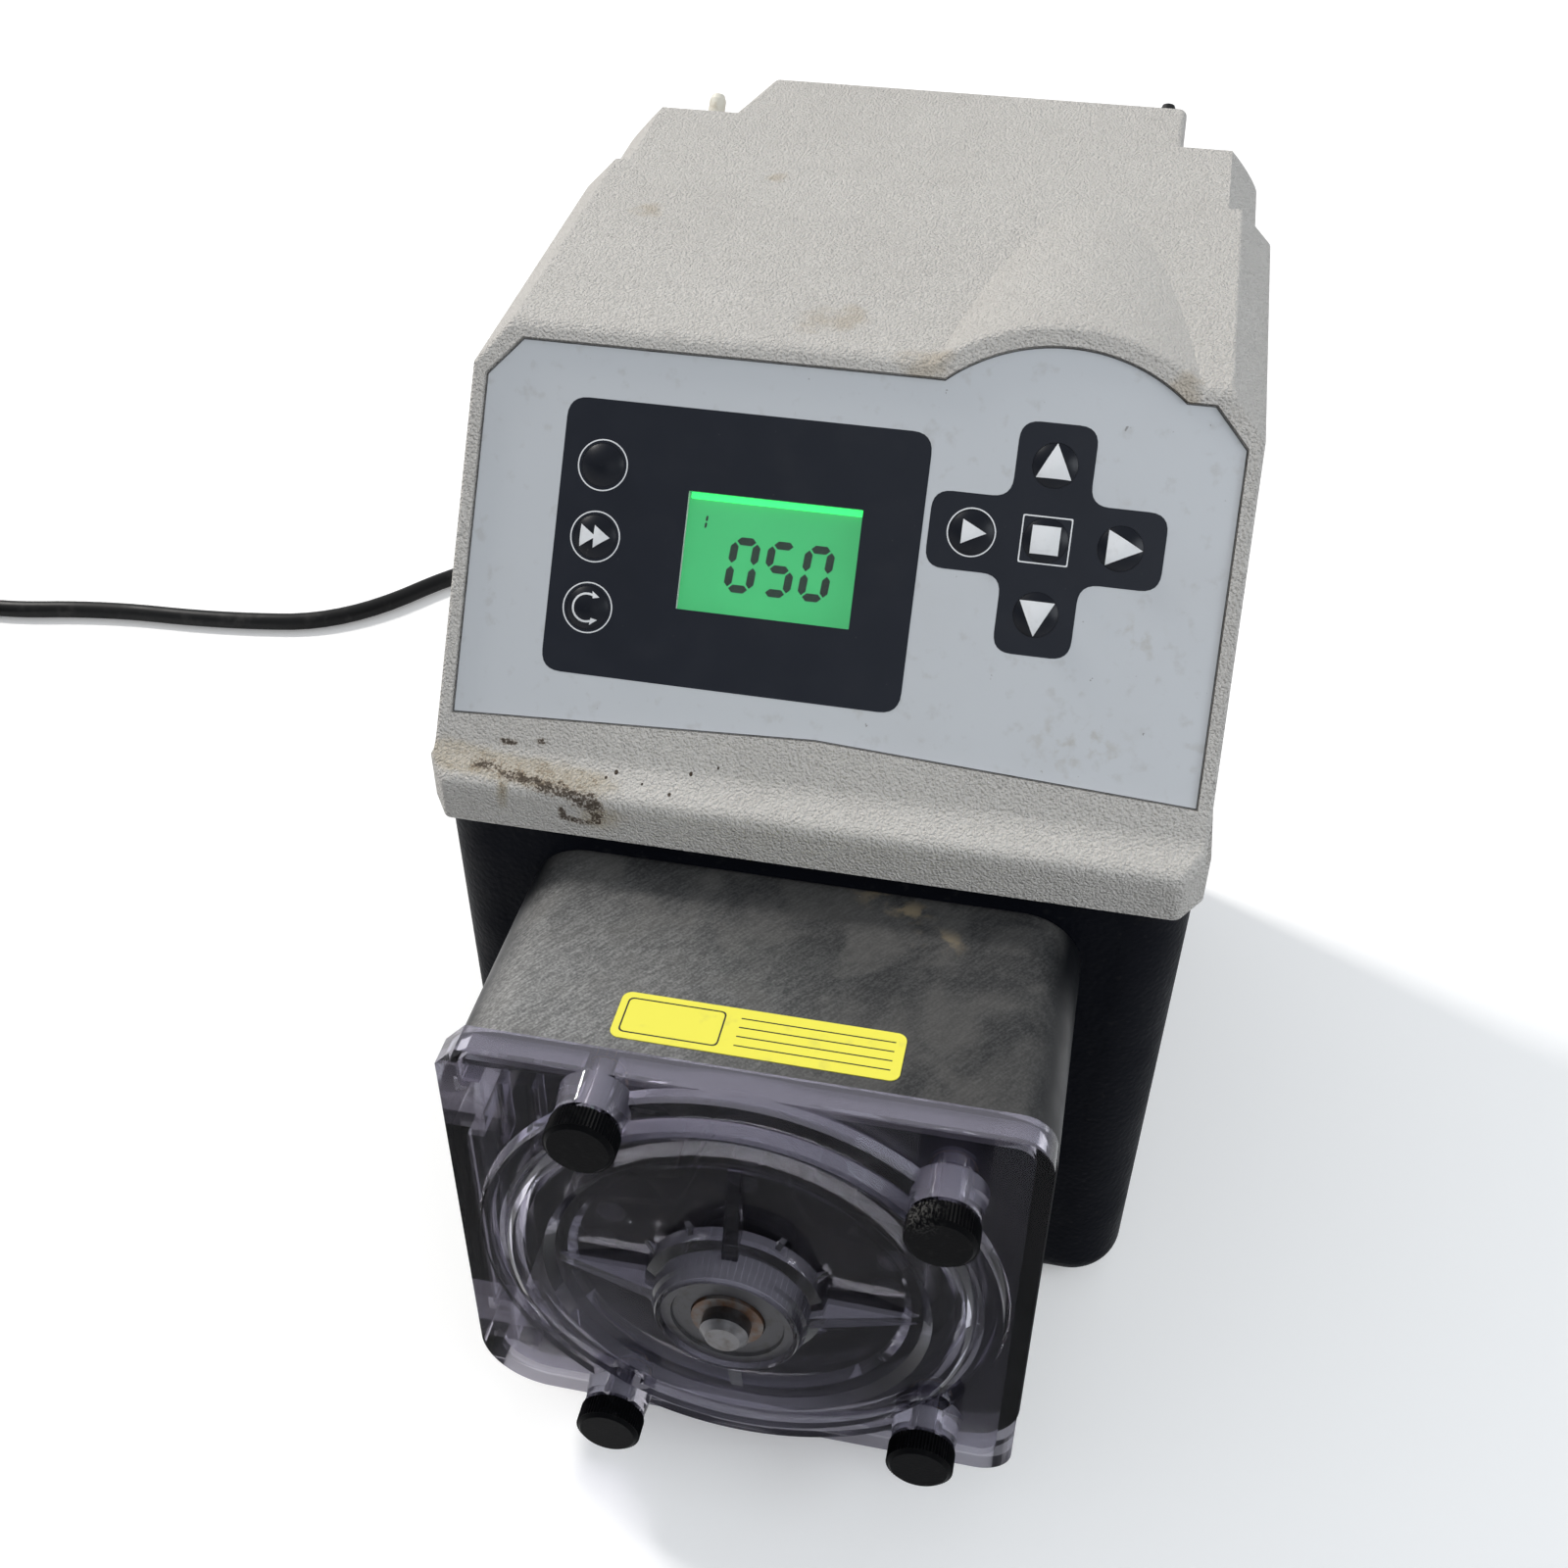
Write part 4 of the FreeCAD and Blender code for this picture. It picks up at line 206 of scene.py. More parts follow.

# %% [markdown]
# The mains lead
#
# A lead is a fixed length of something springy. Its line is one smooth curve through listed points:
# straight out of the sleeve, down to the floor behind the pump and away to the left, where the
# picture shows it. The length that the picture doesn't show is wound up: two layers of round turns,
# a lead's thickness apart, ending where the plug begins.

# %% The lead's way over the floor
LEAD_THICK = 0.008
LEAD_STEPS = 8
LEAD_ROUND_STEPS = 4
LEAD_FIRST = (-0.060, 0.169, 0.046)
LEAD_WAY = (LEAD_FIRST, (-0.060, 0.203, 0.044), (-0.063, 0.237, 0.022), (-0.082, 0.269, 0.006),
            (-0.126, 0.2955, 0.0042), (-0.180, 0.2983, 0.0042), (-0.232, 0.276, 0.0042),
            (-0.276, 0.214, 0.0042), (-0.334, 0.203, 0.0042), (-0.392, 0.201, 0.0042),
            (-0.446, 0.188, 0.0042), (-0.500, 0.196, 0.0042))
COIL_CENTRE = (-0.500, 0.146)
COIL_OUTER = 0.050
COIL_INNER = 0.042
COIL_TURNS = 4.25
COIL_LOW = 0.0042
COIL_HIGH = 0.0121
POINTS_PER_TURN = 16
STEP_LONG = 0.4


def step_at(turn, t):
    """0 before a turn and 1 after it, with a straight rise between, STEP_LONG of a turn long."""
    return np.clip((t - turn) / STEP_LONG + 0.5, 0, 1)


def coil_points():
    """Turns wound against the clock from the coil's far side.

    The turn number t grows evenly. The radius is the outer one in the first and the last turns and
    the inner one between them, and the height goes from the lower layer to the upper one at t = 2.
    The points stand a little wide, because the smooth curve runs inside them.
    """
    count = int(COIL_TURNS * POINTS_PER_TURN)
    t = np.arange(1, count + 1) / POINTS_PER_TURN
    angle = math.pi / 2 + 2 * math.pi * t
    radius = COIL_OUTER + (COIL_INNER - COIL_OUTER) * (step_at(1, t) - step_at(3, t))
    wide = 2 / (1 + math.cos(math.pi / POINTS_PER_TURN))
    height = COIL_LOW + (COIL_HIGH - COIL_LOW) * step_at(2, t)
    return np.c_[COIL_CENTRE[0] + wide * radius * np.cos(angle),
                 COIL_CENTRE[1] + wide * radius * np.sin(angle), height]


lead_points = np.vstack([np.array(LEAD_WAY), coil_points()])
lead_curve = bpy.data.curves.new("mains_lead", "CURVE")
lead_curve.dimensions = "3D"
lead_line = lead_curve.splines.new("NURBS")
lead_line.points.add(len(lead_points) - 1)
lead_line.points.foreach_set("co", np.c_[lead_points, np.ones(len(lead_points))].ravel())
lead_line.order_u = 3
lead_line.use_endpoint_u = True
lead_line.resolution_u = LEAD_STEPS
lead = bpy.data.objects.new("mains_lead", lead_curve)
bpy.context.scene.collection.objects.link(lead)
centre_line = bpy.data.meshes.new_from_object(lead)
line = np.empty(len(centre_line.vertices) * 3)
centre_line.vertices.foreach_get("co", line)
lead_run = float(np.linalg.norm(np.diff(line.reshape(-1, 3), axis=0), axis=1).sum())
bpy.data.meshes.remove(centre_line)
print("lead length along its curve:", round(lead_run, 3))

# %% Give the lead its thickness
lead_line.points.foreach_set("radius", np.full(len(lead_points), LEAD_THICK / 2))
lead_curve.bevel_depth = 1.0
lead_curve.bevel_resolution = LEAD_ROUND_STEPS
lead_curve.use_fill_caps = True
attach(lead, "housing")
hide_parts("power_cord", "power_cord_coil")

# %% [markdown]
# How a finish is built
#
# Paint, plastic and metal on a used machine are layers: a base colour that isn't quite even, a
# texture that catches the light, then dust, stains and scratches on top. The class below keeps one
# material open while layers are added to it. Every pattern is worked out from the piece's own
# coordinates, so it stays put when the piece or the camera moves, and the sizes are real ones. Many
# pieces need only one colour with a grain and blots of a second one, and a single call mixes that.

# %% A finish that takes layers
class Finish:
    """A material with one Principled shader, built up in layers."""

    def __init__(self, name, colour, rough, metal=0.0, shine=0.5):
        self.material = bpy.data.materials.new(name)
        self.material.use_nodes = True
        self.tree = self.material.node_tree
        self.shader = self.tree.nodes["Principled BSDF"]
        self.put("Base Color", (*colour, 1))
        self.put("Roughness", rough)
        self.put("Metallic", metal)
        self.put("Specular IOR Level", shine)
        where = self.add("TexCoord", {})
        self.place = where["Object"]
        self.facing = where["Normal"]

    def put(self, name, source):
        """Puts a value or a node's output into one of the shader's sockets."""
        wire(self.tree, source, self.shader.inputs[name])

    def now(self, name):
        """What is in one of the shader's sockets so far: a node's output or a plain value."""
        socket = self.shader.inputs[name]
        return socket.links[0].from_socket if socket.is_linked else socket.default_value

    def add(self, kind, inputs, **options):
        """A new node in this material."""
        return add_node(self.tree, kind, inputs, **options)

    def plus(self, first, second):
        return maths(self.tree, "ADD", first, second)

    def times(self, first, second):
        return maths(self.tree, "MULTIPLY", first, second)

    def between(self, low, high, mask):
        """Goes evenly from low, where mask is 0, to high, where it is 1."""
        return self.plus(low, self.times(high - low, mask))

    def ramp(self, value, low, high):
        """0 at low, 1 at high and a soft step between them."""
        return soft_ramp(self.tree, value, low, high)

    def cloud(self, place, size, detail, twist=0.0):
        """Cloudy noise whose lumps are about size metres across."""
        look = {"Vector": place, "Scale": 1 / size, "Detail": detail, "Distortion": twist}
        return self.add("TexNoise", look)[0]

    def noise(self, size, detail=3.0, stretch=None, twist=0.0):
        """Noise on the piece's coordinates, which stretch squeezes along each axis."""
        place = self.place
        if stretch:
            place = self.add("Mapping", {"Vector": place, "Scale": stretch})[0]
        return self.cloud(place, size, detail, twist)

    def streaks(self, size, long, degrees):
        """Noise drawn out long times along a line that turns degrees from X about Z."""
        turn = {"Vector": self.place, "Rotation": (0, 0, math.radians(degrees)), "Scale": (long, 1, 1)}
        return self.cloud(self.add("Mapping", turn, vector_type="TEXTURE")[0], size, 4.0)

    def pebbles(self, size):
        """Rounded cells about size metres across, high in the middle."""
        look = {"Vector": self.place, "Scale": 1 / size, "Smoothness": 0.7}
        away = self.add("TexVoronoi", look, feature="SMOOTH_F1")["Distance"]
        return maths(self.tree, "SUBTRACT", 1.0, away)

    def patches(self, size, detail, low, high, twist=0.0):
        """1 where noise is above high, 0 where it is below low."""
        return self.ramp(self.noise(size, detail, twist=twist), low, high)

    def spot(self, centre, reach):
        """1 at a place on the piece, falling to 0 at its reach along each axis."""
        away = self.add("VectorMath", {0: self.place, 1: centre}, operation="SUBTRACT")[0]
        scaled = self.add("VectorMath", {0: away, 1: reach}, operation="DIVIDE")[0]
        return self.ramp(self.add("VectorMath", {0: scaled}, operation="LENGTH")["Value"], 1.0, 0.15)

    def upward(self, low=0.5, high=0.95):
        """1 on the faces that look up, where dust settles."""
        return self.ramp(self.add("SeparateXYZ", {0: self.facing})[2], low, high)

    def layer(self, mask, colour, strength=1.0):
        """Lays a colour over what is there, as far as mask and strength say."""
        if strength != 1.0:
            mask = self.times(strength, mask)
        look = {0: mask, 6: self.now("Base Color"), 7: (*colour, 1)}
        self.put("Base Color", self.add("Mix", look, data_type="RGBA")[2])

    def blots(self, size, detail, low, high, colour, strength=1.0):
        """Lays a colour in patches of noise."""
        self.layer(self.patches(size, detail, low, high), colour, strength)

    def dull(self, size, detail, low, high, rough):
        """Changes the roughness in patches of noise."""
        look = {0: self.patches(size, detail, low, high), 2: self.now("Roughness"), 3: rough}
        self.put("Roughness", self.add("Mix", look)[0])

    def relief(self, height, depth, strength=1.0):
        """Raises the surface by a pattern that is depth metres deep."""
        look = {"Height": height, "Distance": depth, "Strength": strength}
        if self.shader.inputs["Normal"].is_linked:
            look["Normal"] = self.now("Normal")
        self.put("Normal", self.add("Bump", look)[0])

    def grain(self, size, depth, strength=1.0):
        """A fine relief of noise."""
        self.relief(self.noise(size), depth, strength)

    def flat_under_film(self, out, share):
        """Lights a domed print almost as if it were flat and faced the way of out."""
        bent = self.add("NewGeometry", {})["Normal"]
        flat = self.add("VectorTransform", {0: out}, vector_type="NORMAL", convert_from="OBJECT",
                        convert_to="WORLD")[0]
        self.put("Normal", self.add("Mix", {0: share, 4: bent, 5: flat}, data_type="VECTOR")[1])

    def soft_edges(self, radius):
        """Rounds sharp edges a little where they catch the light."""
        self.put("Normal", self.add("Bevel", {"Radius": radius}, samples=4)[0])


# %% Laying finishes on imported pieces
def dress(finish, *names):
    """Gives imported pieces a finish."""
    for name in names:
        for holder in parts[name].material_slots:
            holder.material = finish.material
    print(finish.material.name, "on", len(names), "pieces")


def worn(name, colour, rough, grain, blots, *pieces, metal=0.0, shine=0.5):
    """A plain finish of one colour with a fine grain and blots of a second colour, on its pieces."""
    finish = Finish(name, colour, rough, metal, shine)
    finish.grain(*grain)
    finish.blots(*blots)
    dress(finish, *pieces)
    return finish


def any_spot(finish, spots):
    """Several soft spots, which grow together where they meet.

    Each spot is its place and then its reach along X, Y and Z, in millimetres.
    """
    total = 0.0
    for spot in (np.array(spots) * MM).tolist():
        total = finish.plus(total, finish.spot(spot[:3], spot[3:]))
    return maths(finish.tree, "MINIMUM", total, 1.0)


def spotted(finish, ground, weight, spots):
    """A pattern that is lifted by a weight inside the spots, so that a ramp on it has ragged edges."""
    return finish.plus(ground, finish.times(weight, any_spot(finish, spots)))


# %% [markdown]
# Textured powder coat on the upper housing
#
# The upper housing is a warm light grey with a leathery powder coat, a little less than a millimetre
# from lump to lump. It is dirty where hands and spills reach: brown soil on the left of the lip and
# tan stains along the top. Each stain is a soft spot broken up by noise, so it has a ragged edge. The
# places of the spots are in millimetres, on the housing itself.

# %% Where the light coat is soiled
SOIL_SPOTS = (
    (-87.3, -79.5, 180.1, 6.5, 3.2, 4.0), (-78.4, -81.7, 179.3, 9.0, 3.5, 4.0),
    (-68.5, -83.3, 178.5, 10.0, 4.0, 5.0), (-59.0, -84.6, 176.8, 8.0, 4.0, 5.0),
    (-55.0, -85.2, 173.5, 4.0, 4.0, 5.0), (-64.8, -85.2, 172.2, 2.0, 3.0, 3.0),
    (-63.0, -85.2, 170.2, 4.0, 3.0, 2.2), (-58.8, -85.2, 169.6, 4.0, 3.0, 2.2),
    (-55.2, -85.2, 171.0, 2.0, 3.0, 3.0), (-82.2, -73.9, 184.3, 5.0, 1.5, 2.0),
    (-73.3, -73.2, 185.2, 3.0, 1.2, 2.0),
)
HALO_SPOTS = (
    (-99.0, -77.7, 180.8, 13.0, 8.0, 6.0), (-90.0, -79.0, 180.3, 14.0, 8.0, 6.0),
    (-79.0, -79.5, 180.0, 15.0, 8.0, 6.0), (-68.0, -80.0, 179.5, 15.0, 8.0, 6.0),
    (-57.0, -80.5, 179.2, 12.0, 7.0, 6.0), (-81.2, -85.2, 175.0, 3.0, 4.0, 9.0),
    (-54.0, -85.2, 172.0, 10.0, 4.0, 7.0),
)
SPECKS = ((-51.6, -76.8, 181.3, 0.7), (-54.0, -78.5, 180.5, 0.5), (-31.6, -75.1, 182.7, 0.6),
          (-24.5, -73.6, 184.7, 0.4), (-36.1, -80.9, 179.6, 0.6), (-44.0, -79.0, 180.3, 0.4))
TAN_SPOTS = (
    (-9.5, 3.8, 277.0, 18.0, 18.0, 20.0), (-41.0, 84.0, 282.4, 9.0, 8.0, 20.0),
    (15.3, -11.0, 275.5, 16.0, 9.0, 20.0), (81.5, -11.7, 272.2, 12.0, 10.0, 20.0),
    (-75.7, 56.4, 280.5, 10.0, 10.0, 20.0),
)
print("spots of soil and stain:", len(SOIL_SPOTS + HALO_SPOTS + SPECKS + TAN_SPOTS))

# %% The light grey coat
HOUSING_GREY = (0.622, 0.598, 0.566)
SOIL_DARK = (0.055, 0.038, 0.025)
SOIL_BROWN = (0.190, 0.130, 0.075)
SOIL_TAN = (0.390, 0.315, 0.190)
STAIN_TAN = (0.420, 0.340, 0.235)

light_coat = Finish("light_powder_coat", HOUSING_GREY, 0.55, shine=0.30)
leather = light_coat.plus(light_coat.pebbles(0.00075), light_coat.noise(0.00055, 2.0, twist=0.4))
light_coat.relief(leather, 0.00085)
light_coat.blots(0.05, 4.0, 0.35, 0.7, (0.592, 0.567, 0.536))
light_coat.blots(0.0014, 3.0, 0.55, 0.75, (0.390, 0.375, 0.360), 0.30)
fine = light_coat.noise(0.0007, 4.0, twist=0.6)
tan_level = spotted(light_coat, light_coat.noise(0.009, 5.0), 0.45, TAN_SPOTS)
light_coat.layer(light_coat.ramp(tan_level, 0.74, 1.06), STAIN_TAN, 0.50)
grimy = light_coat.times(0.5, light_coat.plus(light_coat.noise(0.0040, 8.0, twist=0.5), fine))
halo_level = spotted(light_coat, grimy, 0.50, HALO_SPOTS)
light_coat.layer(light_coat.ramp(halo_level, 0.56, 1.14), SOIL_TAN, 0.55)
light_coat.layer(light_coat.ramp(halo_level, 1.00, 1.12), SOIL_BROWN, 0.50)
scattered = light_coat.times(0.5, light_coat.plus(fine, light_coat.noise(0.0018, 6.0, twist=0.8)))
soil_level = spotted(light_coat, scattered, 0.32, SOIL_SPOTS)
light_coat.layer(light_coat.ramp(soil_level, 0.60, 0.80), SOIL_BROWN, 0.50)
light_coat.layer(light_coat.ramp(soil_level, 0.74, 0.82), SOIL_DARK, 0.90)
specks = any_spot(light_coat, [(*place, size, 1.3 * size, 1.6 * size) for *place, size in SPECKS])
light_coat.layer(light_coat.ramp(specks, 0.05, 0.3), SOIL_DARK)
dress(light_coat, "upper_housing")

# %% [markdown]
# Black powder coat, gasket and feet
#
# The lower housing has the same coat in black, with dust lying in its grain. The gasket is foam
# rubber, and the feet are plain rubber with a finer, duller skin.

# %% The black coat
black_coat = Finish("black_powder_coat", (0.0045, 0.0052, 0.0080), 0.50, shine=0.04)
black_coat.soft_edges(0.0012)
black_lumps = black_coat.plus(black_coat.pebbles(0.0017), black_coat.noise(0.0012, 2.0))
black_coat.relief(black_lumps, 0.00025, 0.6)
black_coat.blots(0.003, 6.0, 0.60, 0.75, (0.020, 0.020, 0.021), 0.4)
settled = black_coat.times(black_coat.upward(), black_coat.patches(0.012, 5.0, 0.35, 0.7))
black_coat.layer(settled, (0.075, 0.072, 0.068))
black_coat.dull(0.02, 4.0, 0.4, 0.7, 0.62)
dress(black_coat, "lower_housing")

# %% Rubber and foam
black_foam = Finish("foam_rubber", (0.012, 0.012, 0.013), 0.85, shine=0.1)
black_foam.relief(black_foam.noise(0.0006, 4.0), 0.0002, 0.8)
dress(black_foam, "housing_gasket", "shaft_seal")
worn("foot_rubber", (0.022, 0.022, 0.023), 0.75, (0.0010, 0.0001, 0.6),
     (0.006, 5.0, 0.55, 0.8, (0.06, 0.058, 0.055)), "rubber_feet", shine=0.25)

# %% [markdown]
# The panel's film
#
# A thin printed film is stuck on the sloping face. It is a cool grey with a very fine matt grain and
# a few finger marks. What is printed on it is made as separate shapes a few hundredths of a
# millimetre thick, because a shape keeps its crisp edge however close the camera comes.

# %% The grey film
FILM_GREY = (0.590, 0.609, 0.634)
FILM_SPOTS = ((78.0, -47.0, 222.0, 10.0, 8.0, 10.0), (74.0, -29.0, 247.0, 8.0, 6.0, 6.0),
              (67.0, -62.0, 199.0, 20.0, 12.0, 12.0))
film = Finish("panel_film", FILM_GREY, 0.36, shine=0.50)
film.grain(0.0005, 0.00003, 0.6)
film.blots(0.030, 5.0, 0.45, 0.75, (0.560, 0.572, 0.592), 0.5)
film.blots(0.0045, 6.0, 0.57, 0.74, (0.460, 0.455, 0.450), 0.45)
film.blots(0.0020, 3.0, 0.74, 0.78, (0.180, 0.170, 0.160), 0.7)
handled = film.times(any_spot(film, FILM_SPOTS), film.patches(0.004, 5.0, 0.50, 0.68))
film.layer(handled, (0.400, 0.370, 0.320), 0.5)
film.dull(0.015, 4.0, 0.4, 0.7, 0.50)
dress(film, "front_overlay")

# %% [markdown]
# Places on the panel
#
# The panel leans back 34 degrees, so its prints are laid out in its own flat frame: u to the right,
# v up the slope and n out of the face, all in millimetres. One matrix carries a flat mesh from there
# onto the pump.

# %% The panel's frame
PANEL_LEAN = math.radians(34.33)
PANEL_FOOT = Vector((0.0, -69.4, 188.66)) * MM
panel_u = Vector((1, 0, 0))
panel_v = Vector((0, math.sin(PANEL_LEAN), math.cos(PANEL_LEAN)))
panel_n = Vector((0, -math.cos(PANEL_LEAN), math.sin(PANEL_LEAN)))
TO_PANEL = Matrix.Translation(PANEL_FOOT) @ Matrix((panel_u, panel_v, panel_n)).transposed().to_4x4()
WINDOW = (-41.0, 5.2, 34.6, 65.5)
LEFT_KEYS_U = -64.9
LEFT_KEYS_V = 50.85
LEFT_KEYS_PITCH = 18.8
ARROW_U = 52.4
ARROW_V = 62.9
ARROW_PITCH = 18.9
KEY_R = 5.7
KEY_DOME = 1.7
left_keys = {name: (LEFT_KEYS_U, LEFT_KEYS_V + step * LEFT_KEYS_PITCH)
             for name, step in (("menu_button", 1), ("fast_button", 0), ("reset_button", -1))}
arrow_keys = {name: (ARROW_U + du * ARROW_PITCH, ARROW_V + dv * ARROW_PITCH)
              for name, du, dv in (("up_button", 0, 1), ("down_button", 0, -1), ("start_button", -1, 0),
                                   ("right_button", 1, 0), ("stop_button", 0, 0))}
keys = {**left_keys, **arrow_keys}
print("keys:", len(keys))

# %% [markdown]
# Flat prints
#
# An outline with holes in it is what a filled two-dimensional curve is good at. Each loop is an
# array of corners, the curve fills what lies between the loops and gives it a thickness, and the
# result is made a mesh before it is laid on the panel.

# %% Loops and the shape they enclose
PRINT_THICK = 0.04
MERGE_WITHIN = 1e-7


def circle_loop(u, v, radius, steps=56):
    """Points round a circle: the centre plus the radius times cosine and sine."""
    angle = np.linspace(0, 2 * math.pi, steps, endpoint=False)
    return np.c_[u + radius * np.cos(angle), v + radius * np.sin(angle)]


def rounded_loop(corners, radius, steps=7):
    """A polygon whose corners are rounded.

    Near each corner the line follows a parabola from one side to the next: the point at t is
    (1-t)(1-t) start + 2t(1-t) corner + tt end, with start and end a radius away from the corner.
    """
    corner = np.array(corners, float)
    back = np.roll(corner, 1, axis=0) - corner
    ahead = np.roll(corner, -1, axis=0) - corner
    back = back / np.linalg.norm(back, axis=1)[:, None] * radius
    ahead = ahead / np.linalg.norm(ahead, axis=1)[:, None] * radius
    t = np.linspace(0, 1, steps)[None, :, None]
    start = (corner + back)[:, None]
    end = (corner + ahead)[:, None]
    curve = (1 - t) ** 2 * start + 2 * t * (1 - t) * corner[:, None] + t ** 2 * end
    return curve.reshape(-1, 2)


def box_loop(u0, u1, v0, v1, radius):
    """A box from u0 to u1 and from v0 to v1 with rounded corners."""
    return rounded_loop([(u0, v0), (u1, v0), (u1, v1), (u0, v1)], radius)


def cleaned(mesh, sheet=False):
    """Merges a mesh's doubles and turns its faces outwards, or upwards where it is an open sheet."""
    shape = bmesh.new()
    shape.from_mesh(mesh)
    bmesh.ops.remove_doubles(shape, verts=shape.verts, dist=MERGE_WITHIN)
    bmesh.ops.recalc_face_normals(shape, faces=shape.faces)
    if sheet and sum(face.normal.z for face in shape.faces) < 0:
        bmesh.ops.reverse_faces(shape, faces=shape.faces)
    shape.to_mesh(mesh)
    shape.free()


def new_piece(name, mesh, finish):
    """An object for a mesh with one finish."""
    mesh.materials.clear()
    mesh.materials.append(finish.material)
    piece = bpy.data.objects.new(name, mesh)
    bpy.context.scene.collection.objects.link(piece)
    return piece


def flat_print(name, loops, level, finish, place=TO_PANEL, thick=PRINT_THICK):
    """A printed shape: what lies between its loops, from a level up by its thickness."""
    flat = bpy.data.curves.new(name + "_loops", "CURVE")
    flat.dimensions = "2D"
    flat.fill_mode = "BOTH"
    flat.extrude = thick / 2 * MM
    for loop in loops:
        line = flat.splines.new("POLY")
        line.points.add(len(loop) - 1)
        corners = np.c_[loop * MM, np.zeros(len(loop)), np.ones(len(loop))]
        line.points.foreach_set("co", corners.ravel())
        line.use_cyclic_u = True
    holder = bpy.data.objects.new(name + "_holder", flat)
    mesh = bpy.data.meshes.new_from_object(holder)
    bpy.data.objects.remove(holder)
    bpy.data.curves.remove(flat)
    cleaned(mesh)
    mesh.transform(place @ Matrix.Translation((0, 0, (level + thick / 2) * MM)))
    mesh.name = name
    piece = new_piece(name, mesh, finish)
    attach(piece, "housing")
    print(name, "faces:", len(mesh.polygons))


# %% [markdown]
# The dark fields, rings and frames
#
# Two near-black fields are printed on the film: a rounded block round the display and a cross under
# the arrow keys. Both leave the keys and the window free. Fine white rings go round the keys that
# have them, and a square one round the stop key. A thin dark grey line along the film's own edge is
# a painted shadow of the gap there.

# %% Ink colours
INK_WHITE = (0.860, 0.865, 0.875)
dark_ink = Finish("dark_ink", (0.0095, 0.0120, 0.0200), 0.32, shine=0.30)
dark_ink.grain(0.0005, 0.00003, 0.5)
dark_ink.blots(0.012, 5.0, 0.5, 0.8, (0.0165, 0.0185, 0.0250), 0.4)
dark_ink.blots(0.0016, 6.0, 0.72, 0.80, (0.080, 0.080, 0.084), 0.5)
dark_ink.dull(0.01, 4.0, 0.4, 0.7, 0.42)
white_ink = Finish("white_ink", INK_WHITE, 0.40)
white_ink.blots(0.003, 4.0, 0.5, 0.8, (0.780, 0.780, 0.780))
icon_white = Finish("icon_white", INK_WHITE, 0.55, shine=0.2)
icon_white.blots(0.002, 4.0, 0.5, 0.8, (0.790, 0.790, 0.795))
icon_white.flat_under_film(panel_n, 0.8)
# A painted shadow: a dark grey line for the shadow of the gap at the film's edge.
gap_shadow_grey = Finish("gap_shadow_grey", (0.120, 0.122, 0.128), 0.5, shine=0.2)
gap_shadow_grey.blots(0.006, 4.0, 0.45, 0.70, (0.050, 0.048, 0.046))
print("inks:", [ink.material.name for ink in (dark_ink, white_ink, icon_white, gap_shadow_grey)])

# %% The two dark fields
KEY_HOLE_R = 5.78
DARK_BLOCK = (-76.0, 20.9, 14.3, 86.8)
DARK_BLOCK_ROUND = 5.5
WINDOW_ROUND = 0.25
CROSS_ARM = 9.9
CROSS_REACH = (29.9, 29.5)
CROSS_ROUND = 5.0


def key_holes(group):
    """Round holes for the keys of one group."""
    return [circle_loop(u, v, KEY_HOLE_R) for u, v in group.values()]


block_loops = [box_loop(*DARK_BLOCK, DARK_BLOCK_ROUND), box_loop(*WINDOW, WINDOW_ROUND)]
flat_print("dark_block", block_loops + key_holes(left_keys), 0.0, dark_ink)
arm = CROSS_ARM
end_u, end_v = CROSS_REACH
cross_corners = [(-arm, -end_v), (arm, -end_v), (arm, -arm), (end_u, -arm), (end_u, arm), (arm, arm),
                 (arm, end_v), (-arm, end_v), (-arm, arm), (-end_u, arm), (-end_u, -arm), (-arm, -arm)]
cross_loop = rounded_loop(cross_corners, CROSS_ROUND) + np.array((ARROW_U, ARROW_V))
flat_print("dark_cross", [cross_loop] + key_holes(arrow_keys), 0.0, dark_ink)

# %% The painted shadow line round the film
FILM_HALF = 99.0
FILM_TOP = 100.4
FILM_PEAK = 4.7
FILM_CUT = (9.0, 10.0)
CUT_GROWTH = 0.4
FILM_ARC = 48.3
FILM_ARC_STEPS = 48
FILM_SHADOW_LINE = (-0.02, -0.30)


def film_loop(offset):
    """The film's edge moved out by offset: cut corners, a low peak, and an arc over the arrow keys.

    The arc begins where its circle meets the top edge: the reach is the root of the radius squared
    less the square of the top edge's height over the circle's middle.
    """
    half = FILM_HALF + offset
    top = FILM_TOP + offset
    rise = top - ARROW_V
    radius = FILM_ARC + offset
    first = math.atan2(rise, math.sqrt(radius ** 2 - rise ** 2))
    angle = np.linspace(first, math.pi - first, FILM_ARC_STEPS)
    arc = np.c_[ARROW_U + radius * np.cos(angle), ARROW_V + radius * np.sin(angle)]
    cut_u, cut_v = (length + CUT_GROWTH * offset for length in FILM_CUT)
    rest = [(-half + cut_u, top), (-half, top - cut_v), (-half, -offset), (0, FILM_PEAK - offset),
            (half, -offset), (half, top - cut_v), (half - cut_u, top)]
    return np.vstack([arc, np.array(rest)])


film_shadow_loops = [film_loop(offset) for offset in FILM_SHADOW_LINE]
flat_print("film_gap_shadow", film_shadow_loops, 0.0, gap_shadow_grey)

